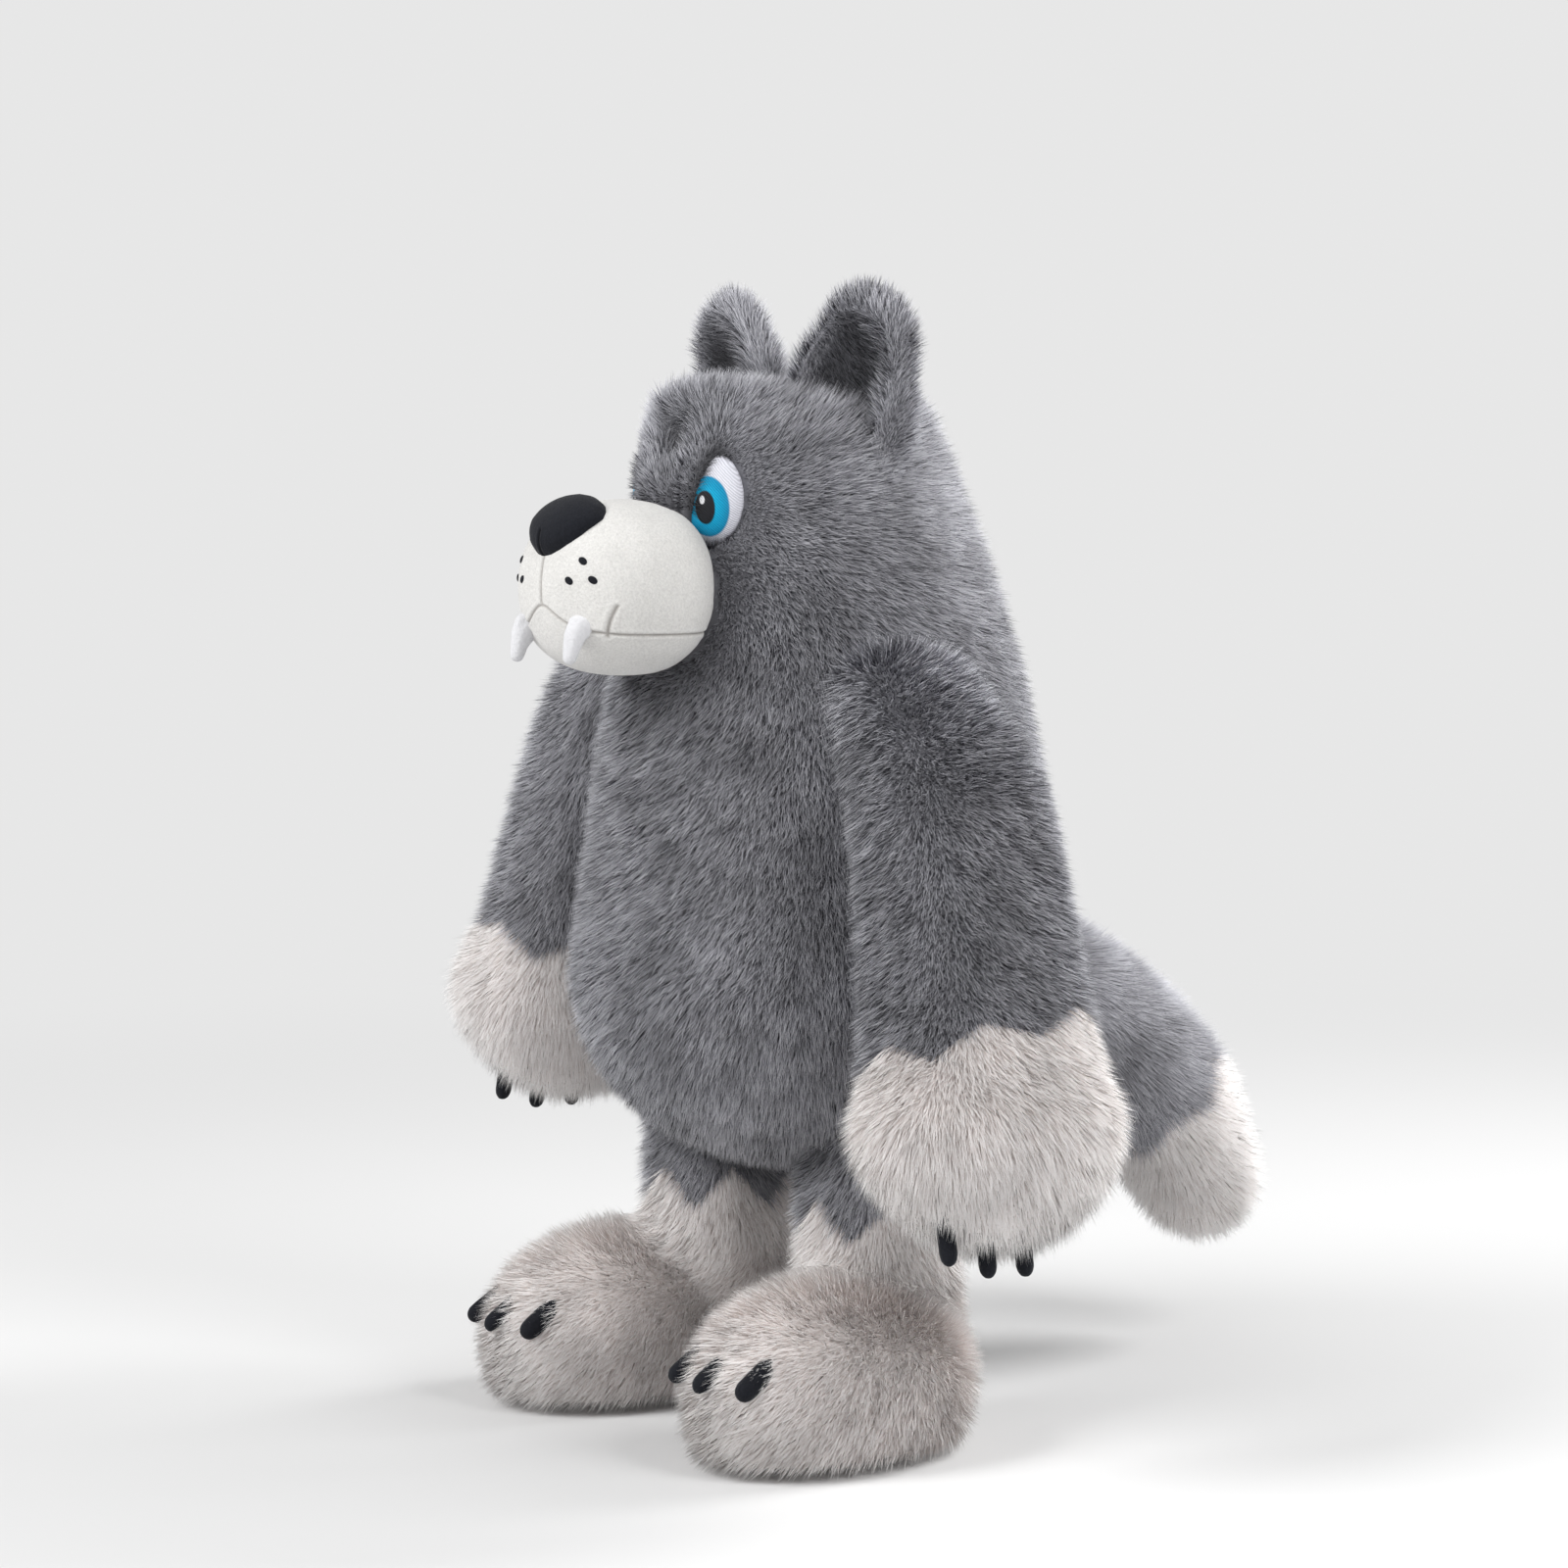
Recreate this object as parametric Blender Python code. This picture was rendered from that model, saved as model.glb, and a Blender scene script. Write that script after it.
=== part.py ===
"""A plush wolf that stands on its own feet, in metres, with +Z up, facing -Y.

Fur skins over stuffing: head and trunk in one pear with a frowning brow, two hollow ears, a smooth
muzzle and chin, a nose, two fangs, two embroidered eyes, arms and legs that change colour at a
zigzag seam, two feet, a tail with a pale tip, and three claws on each paw and foot.
"""

from math import atan2, cos, pi, radians, sin

import bmesh
import bpy
from mathutils import Matrix, Vector

# Clearance between two pieces that are sewn together
SEWN_GAP = 0.0003

# Head and trunk: four girths, each with its rise above the one below and its setback towards +Y
TRUNK_BOTTOM = 0.132
BELLY_RISE = 0.104
BELLY_RADIUS = 0.135
BELLY_SETBACK = 0.025
CHEST_RISE = 0.153
CHEST_RADIUS = 0.109
CHEST_SETBACK = 0.018
FACE_RISE = 0.082
FACE_RADIUS = 0.087
FACE_SETBACK = 0.009
CROWN_RISE = 0.034
CROWN_RADIUS = 0.077
CROWN_SETBACK = 0.004
TOP_RISE = 0.040

# Brow: a blunt forehead over two thick ridges that slant down and meet over the muzzle, with a
# pinched dimple between them. Overhangs are in front of the head's girth.
FOREHEAD_WIDTH = 0.088
FOREHEAD_DEPTH = 0.072
FOREHEAD_THICKNESS = 0.046
FOREHEAD_ROUNDING = 0.014
FOREHEAD_OVERHANG = 0.006
BROW_LENGTH = 0.078
BROW_THICKNESS = 0.042
BROW_OVERHANG = 0.012
BROW_SLANT = radians(41)
BROW_TURN = radians(27)
BROW_RISE = 0.008
DIMPLE_WIDTH = 0.014
DIMPLE_HEIGHT = 0.022
DIMPLE_DEPTH = 0.010
BRIDGE_WIDTH = 0.040
BRIDGE_DEPTH = 0.030
BRIDGE_LENGTH = 0.050
SNOUT_WIDTH = 0.076
SNOUT_DEPTH = 0.044
SNOUT_OVERHANG = 0.014

# Ears: length above the foot, which is a little over the crown's girth
EAR_WIDTH = 0.088
EAR_LENGTH = 0.087
EAR_THICKNESS = 0.038
EAR_SPACING = 0.074
EAR_RISE = 0.004
EAR_LEAN = radians(21)
EAR_TURN = radians(10)
EAR_ROUND_TOP = 0.028
EAR_TOP_WIDTH = 0.066
EAR_TOP_THICKNESS = 0.032
EAR_ROOT = 0.022
EAR_HOLLOW_DEPTH = 0.014
EAR_RIM = 0.013

# Muzzle, below the face's girth, with the mouth seam that parts the chin from it
MUZZLE_WIDTH = 0.100
MUZZLE_HEIGHT = 0.088
MUZZLE_DROP = 0.034
MUZZLE_PLACE = 0.107
MUZZLE_REACH = 0.048
MUZZLE_BACK = 0.036
MOUTH_CORNER_DROP = 0.024
MOUTH_PEAK_DROP = 0.007
MOUTH_PEAK_WIDTH = 0.016

# Nose, fangs and eyes
NOSE_WIDTH = 0.050
NOSE_LENGTH = 0.040
NOSE_THICKNESS = 0.025
NOSE_SINK = 0.0035
NOSE_RISE = radians(47)
FANG_LENGTH = 0.020
FANG_DIAMETER = 0.013
FANG_TIP_DIAMETER = 0.0075
FANG_SPACING = 0.046
FANG_SLANT = radians(20)
EYE_WIDTH = 0.041
EYE_HEIGHT = 0.065
EYE_RISE = 0.011
EYE_TURN = radians(17)
EYE_PROUD = 0.004
EYE_ROUNDING = 0.012

# Arms: sizes are across the arm and from front to back, places are down the arm. Tuck is how far
# the top leans into the trunk. The left arm hangs lower and wider than the right.
ARM_LENGTH = 0.312
SHOULDER_SIZE = (0.066, 0.092)
UPPER_ARM_SIZE = (0.086, 0.108)
CUFF_SIZE = (0.102, 0.126)
PAW_SIZE = (0.116, 0.148)
SHOULDER_TUCK = 0.024
UPPER_ARM_PLACE = 0.098
CUFF_PLACE = 0.209
PAW_PLACE = 0.253
SHOULDER_WIDTH = 0.222
SHOULDER_RISE = 0.029
SHOULDER_SETBACK = 0.004
ARM_SPREAD = (radians(17.5), radians(16))
ARM_SWING = (radians(6), radians(3))
ARM_SHRUG = (0.0, 0.035)
ARM_ZIGZAG = 0.007
ARM_SEAM_SLANT = 0.011

# Legs: the colour seam and the top are above the trunk's bottom
LEG_DIAMETER = 0.088
LEG_SPACING = 0.132
LEG_SETBACK = 0.008
LEG_SEAM_DROP = 0.014
LEG_SINK = 0.062
LEG_ZIGZAG = 0.012

# Feet
FOOT_LENGTH = 0.162
FOOT_WIDTH = 0.120
FOOT_HEIGHT = 0.094
FOOT_SPACING = 0.178
FOOT_ADVANCE = 0.044
FOOT_SPLAY = radians(2)
FOOT_WIDEST_HEIGHT = 0.040
SOLE_ROUND_HEIGHT = 0.012
SOLE_MARGIN = 0.013
SOLE_ROUND_MARGIN = 0.0045

# Tail: a thick roll that leaves the back below the belly's girth and hangs down
TAIL_ROOT_SIZE = 0.078
TAIL_THICKNESS = 0.094
TAIL_TIP_SIZE = 0.074
TAIL_ROOT_DROP = 0.009
TAIL_REACH = 0.298
TAIL_DROP = 0.132
TAIL_ZIGZAG = 0.006
# Places along it as shares of the way back and of the drop
TAIL_CURVE = ((0.0, 0.0), (0.34, 0.19), (0.77, 0.60), (1.0, 1.0))

# Claws
FOOT_CLAW_DIAMETER = 0.014
FOOT_CLAW_LENGTH = 0.026
FOOT_CLAW_PROUD = 0.006
FOOT_CLAW_FAN = radians(12)
FOOT_CLAW_SPACING = 0.026
FOOT_CLAW_HEIGHT = 0.048
FOOT_CLAW_SLANT = radians(28)
PAW_CLAW_DIAMETER = 0.011
PAW_CLAW_LENGTH = 0.034
PAW_CLAW_SPACING = 0.024
PAW_CLAW_PROUD = 0.016
PAW_CLAW_ADVANCE = 0.010
CLAW_TAPER = 0.8

# Zigzag points round a limb, and facets round each kind of piece
ZIGZAG_POINTS = 6
LIMB_SIDES = 24
TRUNK_SIDES = 32
SMALL_SIDES = 10

# Colours and roughness of the materials
GREY_FUR = ((0.26, 0.26, 0.29), 0.95)
PALE_FUR = ((0.78, 0.74, 0.71), 0.95)
VELOUR = ((0.68, 0.67, 0.65), 0.9)
BLACK_VELOUR = ((0.012, 0.012, 0.015), 0.85)
FANG_VELOUR = ((0.80, 0.80, 0.80), 0.9)
EYE_THREAD = ((0.02, 0.36, 0.58), 0.55)

# Heights that follow from the rises
BELLY_HEIGHT = TRUNK_BOTTOM + BELLY_RISE
CHEST_HEIGHT = BELLY_HEIGHT + CHEST_RISE
FACE_HEIGHT = CHEST_HEIGHT + FACE_RISE
CROWN_HEIGHT = FACE_HEIGHT + CROWN_RISE
HEAD_TOP = CROWN_HEIGHT + TOP_RISE
MUZZLE_CENTRE_HEIGHT = FACE_HEIGHT - MUZZLE_DROP
EYE_CENTRE_HEIGHT = FACE_HEIGHT + EYE_RISE

# How much narrower a foot's heel is than its toes
FOOT_EGG = -0.10

# Squareness of the ovals, and of the trunk's ends: 2 is an ellipse
LIMB_POWER = 2.2
FOOT_POWER = 2.25
MUZZLE_POWER = 2.35
TRUNK_FULLNESS = 2.15

UP = Vector((0, 0, 1))
ACROSS = Vector((1, 0, 0))


def clear_scene():
    for found in list(bpy.data.objects):
        bpy.data.objects.remove(found)


def material(name, look):
    """A plain material of one colour, made once."""
    if name in bpy.data.materials:
        return bpy.data.materials[name]
    made = bpy.data.materials.new(name)
    made.use_nodes = True
    shader = made.node_tree.nodes["Principled BSDF"]
    shader.inputs["Base Color"].default_value = (*look[0], 1)
    shader.inputs["Roughness"].default_value = look[1]
    return made


def add_object(name, mesh_maker, cloth):
    """An object from a bmesh, shaded smooth, with its faces out."""
    bmesh.ops.recalc_face_normals(mesh_maker, faces=mesh_maker.faces)
    mesh = bpy.data.meshes.new(name)
    mesh_maker.to_mesh(mesh)
    mesh_maker.free()
    mesh.shade_smooth()
    mesh.materials.append(cloth)
    made = bpy.data.objects.new(name, mesh)
    bpy.context.scene.collection.objects.link(made)
    return made


def make_helper(helper):
    """Keeps a cutter or a guide out of the part."""
    helper.hide_render = True
    helper.display_type = "WIRE"
    return helper


def boolean(piece, other, operation):
    step = piece.modifiers.new(f"{operation.lower()} {other.name}", "BOOLEAN")
    step.operation = operation
    step.object = other
    step.solver = "EXACT"


def clearance_of(piece):
    """A cutter: the same form before its own cuts, a sewn gap larger all round."""
    cutter = piece.copy()
    cutter.name = f"{piece.name} clearance"
    cutter.modifiers.clear()
    bpy.context.scene.collection.objects.link(cutter)
    grow = cutter.modifiers.new("sewn gap", "DISPLACE")
    grow.strength = SEWN_GAP
    grow.mid_level = 0
    return make_helper(cutter)


def through(stations, steps):
    """Stations on a smooth curve through the given ones, each a list of numbers."""
    count = len(stations)
    made = []
    for start in range(count - 1):
        before = stations[max(start - 1, 0)]
        here, there = stations[start], stations[start + 1]
        after = stations[min(start + 2, count - 1)]
        for step in range(steps):
            t = step / steps
            made.append(
                [
                    q + t * (r - p) / 2 + t * t * (p - 2.5 * q + 2 * r - s / 2)
                    + t**3 * (1.5 * (q - r) + (s - p) / 2)
                    for p, q, r, s in zip(before, here, there, after)
                ]
            )
    return made + [list(stations[-1])]


def ring(centre, across, along, sides, egg=0.0, power=2.0):
    """Points of an oval: half sizes as two vectors; egg widens the end that along points to."""
    points = []
    for index in range(sides):
        angle = 2 * pi * index / sides
        c, s = cos(angle), sin(angle)
        x = abs(c) ** (2 / power) * (1 if c > 0 else -1)
        y = abs(s) ** (2 / power) * (1 if s > 0 else -1)
        points.append(centre + across * x * (1 + egg * y) + along * y)
    return points


def sweep(
    stations, side, sides, first_cap=0.0, last_cap=0.0, cap_rings=4, egg=0.0, power=2.0, fullness=2.0
):
    """Rings along a path, with rounded ends of the given reach.

    A station is x, y, z, half size towards side, half size towards the other way. Fullness over
    2 gives blunter ends. It gives the rings, the two end points and each ring's direction of travel.
    """
    centres = [Vector(row[:3]) for row in stations]
    rings, ways = [], []
    count = len(stations)
    for index, row in enumerate(stations):
        way = (centres[min(index + 1, count - 1)] - centres[max(index - 1, 0)]).normalized()
        across = (side - way * side.dot(way)).normalized()
        along = across.cross(way)
        rings.append(ring(centres[index], across * row[3], along * row[4], sides, egg, power))
        ways.append(way)
    ends = [centres[0] - ways[0] * first_cap, centres[-1] + ways[-1] * last_cap]
    for reach, end, sign in ((first_cap, 0, -1), (last_cap, -1, 1)):
        if not reach:
            continue
        base, centre, way = rings[end], centres[end], ways[end]
        for step in range(1, cap_rings + 1):
            angle = pi / 2 * step / (cap_rings + 1)
            moved = centre + way * reach * sign * sin(angle) ** (2 / fullness)
            made = [moved + (point - centre) * cos(angle) ** (2 / fullness) for point in base]
            if sign < 0:
                rings.insert(0, made)
                ways.insert(0, way)
            else:
                rings.append(made)
                ways.append(way)
    return rings, ends, ways


def solid(name, rings, ends, cloth):
    """A closed body: a skin over the rings and a fan to the point at each end."""
    maker = bmesh.new()
    rows = [[maker.verts.new(point) for point in row] for row in rings]
    sides = len(rows[0])
    for low, high in zip(rows, rows[1:]):
        for index in range(sides):
            after = (index + 1) % sides
            maker.faces.new((low[index], low[after], high[after], high[index]))
    for row, end in ((rows[0], ends[0]), (rows[-1], ends[1])):
        tip = maker.verts.new(end)
        for index in range(sides):
            maker.faces.new((row[index], row[(index + 1) % sides], tip))
    return add_object(name, maker, cloth)


def ellipsoid(name, centre, axes, half_sizes, cloth, sides=SMALL_SIDES):
    """A closed oval body whose three half sizes lie along three axes."""
    turn = Matrix([axis * half for axis, half in zip(axes, half_sizes)]).transposed().to_4x4()
    maker = bmesh.new()
    bmesh.ops.create_uvsphere(maker, u_segments=2 * sides, v_segments=sides, radius=1)
    bmesh.ops.transform(maker, matrix=Matrix.Translation(centre) @ turn, verts=maker.verts)
    return add_object(name, maker, cloth)


def zigzag(points, way, height, slant=Vector()):
    """Moves a ring's points up and down along the limb, in equal zigzags and on a slant."""
    middle = sum(points, Vector()) / len(points)
    for index, point in enumerate(points):
        turn = (index * ZIGZAG_POINTS / len(points)) % 1
        shift = height * (4 * abs(turn - 0.5) - 1) + (point - middle).dot(slant)
        points[index] = point + way * shift


def two_colour_limb(names, cloths, rings, ends, ways, seam, height, slant=Vector()):
    """One limb as two bodies that meet at a zigzag seam."""
    middle = sum(rings[seam], Vector()) / len(rings[seam])
    zigzag(rings[seam], ways[seam], height, slant)
    shift = ways[seam] * SEWN_GAP
    below = [point + shift for point in rings[seam]]
    upper = solid(names[0], rings[: seam + 1], (ends[0], middle), cloths[0])
    lower = solid(names[1], [below] + rings[seam + 1 :], (middle + shift, ends[1]), cloths[1])
    return upper, lower


def head_front(height, turn=0.0):
    """A point on the face and the way out of it, at a height and a turn from the front."""
    share = (height - FACE_HEIGHT) / (CROWN_HEIGHT - FACE_HEIGHT)
    radius = FACE_RADIUS + (CROWN_RADIUS - FACE_RADIUS) * share
    setback = FACE_SETBACK + (CROWN_SETBACK - FACE_SETBACK) * share
    out = Vector((sin(turn), -cos(turn), 0))
    return Vector((0, setback, height)) + out * radius, out


def make_trunk(name, cloth, grow=0.0):
    """Head and trunk with the brow; grow makes every form larger, for a cutter."""
    girths = [
        (0, setback, height, radius + grow, radius + grow)
        for setback, height, radius in (
            (BELLY_SETBACK, BELLY_HEIGHT, BELLY_RADIUS),
            (CHEST_SETBACK, CHEST_HEIGHT, CHEST_RADIUS),
            (FACE_SETBACK, FACE_HEIGHT, FACE_RADIUS),
            (CROWN_SETBACK, CROWN_HEIGHT, CROWN_RADIUS),
        )
    ]
    rings, ends, _ = sweep(
        through(girths, 3), ACROSS, TRUNK_SIDES,
        BELLY_HEIGHT - TRUNK_BOTTOM + grow, HEAD_TOP - CROWN_HEIGHT + grow, cap_rings=5,
        fullness=TRUNK_FULLNESS,
    )
    trunk = solid(name, rings, ends, cloth)

    def join(form, operation="UNION"):
        boolean(trunk, make_helper(form), operation)

    def rounded(word, centre, axes, sizes):
        return ellipsoid(
            f"{name} {word}", centre, axes, [size / 2 + grow for size in sizes], cloth
        )

    seat, out = head_front(HEAD_TOP - FOREHEAD_THICKNESS / 2)
    middle = seat + out * (FOREHEAD_OVERHANG - FOREHEAD_DEPTH / 2)
    half = FOREHEAD_THICKNESS / 2 - FOREHEAD_ROUNDING
    stations = [
        (*(middle + UP * rise), FOREHEAD_WIDTH / 2 + grow, FOREHEAD_DEPTH / 2 + grow)
        for rise in (-half, half)
    ]
    rounding = FOREHEAD_ROUNDING + grow
    rings, ends, _ = sweep(stations, ACROSS, 24, rounding, rounding, power=LIMB_POWER)
    join(solid(f"{name} forehead", rings, ends, cloth))

    bridge_height = MUZZLE_CENTRE_HEIGHT + MUZZLE_HEIGHT / 2
    seat, out = head_front(bridge_height)
    join(rounded("bridge", seat, (ACROSS, out, UP), (BRIDGE_WIDTH, BRIDGE_DEPTH, BRIDGE_LENGTH)))
    seat, out = head_front(MUZZLE_CENTRE_HEIGHT)
    join(
        rounded(
            "snout", seat + out * (SNOUT_OVERHANG - SNOUT_DEPTH / 2), (ACROSS, out, UP),
            (SNOUT_WIDTH, SNOUT_DEPTH, SNOUT_WIDTH),
        )
    )
    for side in (1, -1):
        _, out = head_front(bridge_height, side * BROW_TURN)
        run = UP.cross(out) * side * cos(BROW_SLANT) + UP * sin(BROW_SLANT)
        inner, front = head_front(bridge_height + BROW_RISE)
        radius = BROW_THICKNESS / 2
        start = inner + front * (BROW_OVERHANG - radius)
        stop = start + run * (BROW_LENGTH - BROW_THICKNESS)
        stations = [(*place, radius + grow, radius + grow) for place in (start, stop)]
        rings, ends, _ = sweep(stations, out, 16, radius + grow, radius + grow, cap_rings=3)
        join(solid(f"{name} brow {side}", rings, ends, cloth))
    seat, out = head_front(HEAD_TOP - FOREHEAD_THICKNESS / 2 - DIMPLE_HEIGHT / 2)
    dimple = rounded(
        "dimple", seat + out * FOREHEAD_OVERHANG, (ACROSS, out, UP),
        (DIMPLE_WIDTH, 2 * DIMPLE_DEPTH, DIMPLE_HEIGHT),
    )
    join(dimple, "DIFFERENCE")
    return trunk


def make_ear(name, side, cloth, head):
    outward = Vector((side * cos(EAR_TURN), sin(EAR_TURN), 0))
    facing = Vector((side * sin(EAR_TURN), -cos(EAR_TURN), 0))
    rise = outward * sin(EAR_LEAN) + UP * cos(EAR_LEAN)
    across = outward * cos(EAR_LEAN) - UP * sin(EAR_LEAN)
    foot = Vector((side * EAR_SPACING / 2, CROWN_SETBACK, CROWN_HEIGHT + EAR_RISE))
    straight = EAR_LENGTH - EAR_ROUND_TOP
    keys = (
        (-EAR_ROOT, EAR_TOP_WIDTH, EAR_TOP_THICKNESS), (0, EAR_WIDTH, EAR_THICKNESS),
        (straight / 2, EAR_WIDTH, EAR_THICKNESS), (straight, EAR_TOP_WIDTH, EAR_TOP_THICKNESS),
    )
    stations = [(*(foot + rise * place), wide / 2, thick / 2) for place, wide, thick in keys]
    rings, ends, _ = sweep(
        through(stations, 2), across, 20, EAR_ROOT / 2, EAR_ROUND_TOP, cap_rings=4,
        power=LIMB_POWER,
    )
    ear = solid(name, rings, ends, cloth)
    hollow_length = EAR_LENGTH - EAR_RIM
    hollow_centre = foot + rise * hollow_length / 2 + facing * EAR_THICKNESS / 2
    hollow = ellipsoid(
        f"{name} hollow", hollow_centre, (across, facing, rise),
        (EAR_WIDTH / 2 - EAR_RIM, EAR_HOLLOW_DEPTH, hollow_length / 2), cloth,
    )
    boolean(ear, make_helper(hollow), "DIFFERENCE")
    boolean(ear, head, "DIFFERENCE")
    return ear


def mouth_fall(x):
    """How far the mouth seam lies below the muzzle's middle: it peaks under the nose."""
    peak = 1 / (1 + (x / MOUTH_PEAK_WIDTH) ** 2)
    return MOUTH_CORNER_DROP + (MOUTH_PEAK_DROP - MOUTH_CORNER_DROP) * peak


def mouth_cutter(name, drop, cloth):
    """A block below the mouth seam."""
    half = MUZZLE_WIDTH
    steps = 24
    seam = []
    for index in range(steps + 1):
        x = half * (2 * index / steps - 1)
        seam.append((x, MUZZLE_CENTRE_HEIGHT - mouth_fall(x) - drop))
    low = MUZZLE_CENTRE_HEIGHT - MUZZLE_HEIGHT
    outline = seam + [(half, low), (-half, low)]
    reach = 2 * (MUZZLE_PLACE + MUZZLE_REACH)
    maker = bmesh.new()
    face = maker.faces.new([maker.verts.new((x, -reach, z)) for x, z in outline])
    grown = bmesh.ops.extrude_face_region(maker, geom=[face])
    moved = [part for part in grown["geom"] if isinstance(part, bmesh.types.BMVert)]
    bmesh.ops.translate(maker, vec=(0, reach, 0), verts=moved)
    return make_helper(add_object(name, maker, cloth))


def make_muzzle(cloth, head):
    """The muzzle above the mouth seam and the chin below it; gives the form of both."""
    half_width, half_height = MUZZLE_WIDTH / 2, MUZZLE_HEIGHT / 2
    stations = [
        (0, place, MUZZLE_CENTRE_HEIGHT, half_width, half_height)
        for place in (-MUZZLE_PLACE + MUZZLE_BACK / 9, -MUZZLE_PLACE)
    ]
    rings, ends, _ = sweep(
        stations, ACROSS, 32, MUZZLE_BACK, MUZZLE_REACH, cap_rings=8, power=MUZZLE_POWER,
        fullness=MUZZLE_POWER,
    )
    form = make_helper(solid("muzzle form", rings, ends, cloth))
    for name, operation, drop in (("muzzle", "DIFFERENCE", 0), ("chin", "INTERSECT", SEWN_GAP)):
        piece = solid(name, rings, ends, cloth)
        boolean(piece, mouth_cutter(f"{name} seam", drop, cloth), operation)
        boolean(piece, head, "DIFFERENCE")
    return form


def muzzle_point(rise, x=0.0):
    """A point on the muzzle's front, at a rise from straight ahead and a way to the side."""
    shrink = (1 - abs(2 * x / MUZZLE_WIDTH) ** MUZZLE_POWER) ** (1 / MUZZLE_POWER)
    c, s = cos(rise) ** (2 / MUZZLE_POWER), abs(sin(rise)) ** (2 / MUZZLE_POWER)
    y = -MUZZLE_PLACE - MUZZLE_REACH * c * shrink
    z = MUZZLE_CENTRE_HEIGHT + MUZZLE_HEIGHT / 2 * s * shrink * (1 if rise > 0 else -1)
    return Vector((x, y, z))


def make_nose(cloth, muzzle):
    step = radians(6)
    slope = (muzzle_point(NOSE_RISE + step) - muzzle_point(NOSE_RISE - step)).normalized()
    out = ACROSS.cross(slope)
    nose = ellipsoid(
        "nose", muzzle_point(NOSE_RISE) - out * NOSE_SINK, (ACROSS, slope, out),
        (NOSE_WIDTH / 2, NOSE_LENGTH / 2, NOSE_THICKNESS / 2), cloth,
    )
    boolean(nose, muzzle, "DIFFERENCE")
    return nose


def make_fang(name, side, cloth, muzzle):
    """A tooth that comes out of the mouth seam and narrows to its tip."""
    x = side * FANG_SPACING / 2
    seat = muzzle_point(-atan2(2 * mouth_fall(x), MUZZLE_HEIGHT), x)
    way = Vector((0, -sin(FANG_SLANT), -cos(FANG_SLANT)))
    inside = Vector((0, FANG_DIAMETER, FANG_DIAMETER / 4))
    keys = (
        (seat + inside, FANG_DIAMETER), (seat, FANG_DIAMETER),
        (seat + way * (FANG_LENGTH - FANG_TIP_DIAMETER / 2), FANG_TIP_DIAMETER),
    )
    stations = [(*place, size / 2, size / 2) for place, size in keys]
    rings, ends, _ = sweep(
        through(stations, 3), ACROSS, SMALL_SIDES, FANG_DIAMETER / 4, FANG_TIP_DIAMETER / 2,
        cap_rings=3,
    )
    fang = solid(name, rings, ends, cloth)
    boolean(fang, muzzle, "DIFFERENCE")
    return fang


def make_eye(name, side, cloth, head, muzzle):
    """An embroidered patch: the cap of an oval that stands a little proud of the face."""
    seat, out = head_front(EYE_CENTRE_HEIGHT, side * EYE_TURN)
    across = UP.cross(out)
    eye = ellipsoid(
        name, seat + out * (EYE_PROUD - EYE_ROUNDING), (across, out, UP),
        (EYE_WIDTH / 2, EYE_ROUNDING, EYE_HEIGHT / 2), cloth,
    )
    boolean(eye, head, "DIFFERENCE")
    boolean(eye, muzzle, "DIFFERENCE")
    return eye


def arm_axis(side):
    """The shoulder, the way down the arm and the way across it."""
    which = 0 if side > 0 else 1
    spread, swing = ARM_SPREAD[which], ARM_SWING[which]
    height = CHEST_HEIGHT + SHOULDER_RISE + ARM_SHRUG[which]
    shoulder = Vector((side * SHOULDER_WIDTH / 2, SHOULDER_SETBACK, height))
    way = Vector((side * sin(spread), -sin(swing), -cos(spread))).normalized()
    across = Vector((side, 0, 0)) - way * way.x * side
    return shoulder, way, across.normalized()


def make_arm(word, side, cloths, head):
    shoulder, way, across = arm_axis(side)
    round_top = SHOULDER_SIZE[0] / 2
    keys = (
        (round_top, SHOULDER_SIZE, SHOULDER_TUCK), (UPPER_ARM_PLACE, UPPER_ARM_SIZE, 0),
        (CUFF_PLACE, CUFF_SIZE, 0), (PAW_PLACE, PAW_SIZE, 0),
    )
    stations = [
        (*(shoulder + way * place - across * tuck), size[0] / 2, size[1] / 2)
        for place, size, tuck in keys
    ]
    steps, cap_rings = 3, 4
    rings, ends, ways = sweep(
        through(stations, steps), across, LIMB_SIDES, round_top, ARM_LENGTH - PAW_PLACE,
        cap_rings=cap_rings, power=LIMB_POWER,
    )
    back = across.cross(way)
    back = back if back.y > 0 else -back
    slant = back * (-2 * ARM_SEAM_SLANT / CUFF_SIZE[1])
    sleeve, paw = two_colour_limb(
        (f"{word}_sleeve", f"{word}_paw"), cloths, rings, ends, ways, cap_rings + 2 * steps,
        ARM_ZIGZAG, slant,
    )
    for piece in (sleeve, paw):
        boolean(piece, head, "DIFFERENCE")
    return sleeve, paw


def make_leg(word, side, cloths, head, foot):
    x, y = side * LEG_SPACING / 2, LEG_SETBACK
    radius = LEG_DIAMETER / 2
    heights = (TRUNK_BOTTOM + LEG_SINK, TRUNK_BOTTOM - LEG_SEAM_DROP, FOOT_HEIGHT / 2)
    stations = [(x, y, height, radius, radius) for height in heights]
    steps = 3
    rings, ends, ways = sweep(
        through(stations, steps), ACROSS, LIMB_SIDES, radius / 2, radius / 3, cap_rings=2,
    )
    thigh, shin = two_colour_limb(
        (f"{word}_thigh", f"{word}_shin"), cloths, rings, ends, ways, 2 + steps, LEG_ZIGZAG,
    )
    for piece in (thigh, shin):
        boolean(piece, head, "DIFFERENCE")
    boolean(shin, foot, "DIFFERENCE")
    return thigh, shin


def foot_axes(side):
    """The middle of the sole, the way to the toes and the way across the foot."""
    middle = Vector((side * FOOT_SPACING / 2, -FOOT_ADVANCE, 0))
    toes = Vector((side * sin(FOOT_SPLAY), -cos(FOOT_SPLAY), 0))
    return middle, toes, UP.cross(toes)


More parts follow.
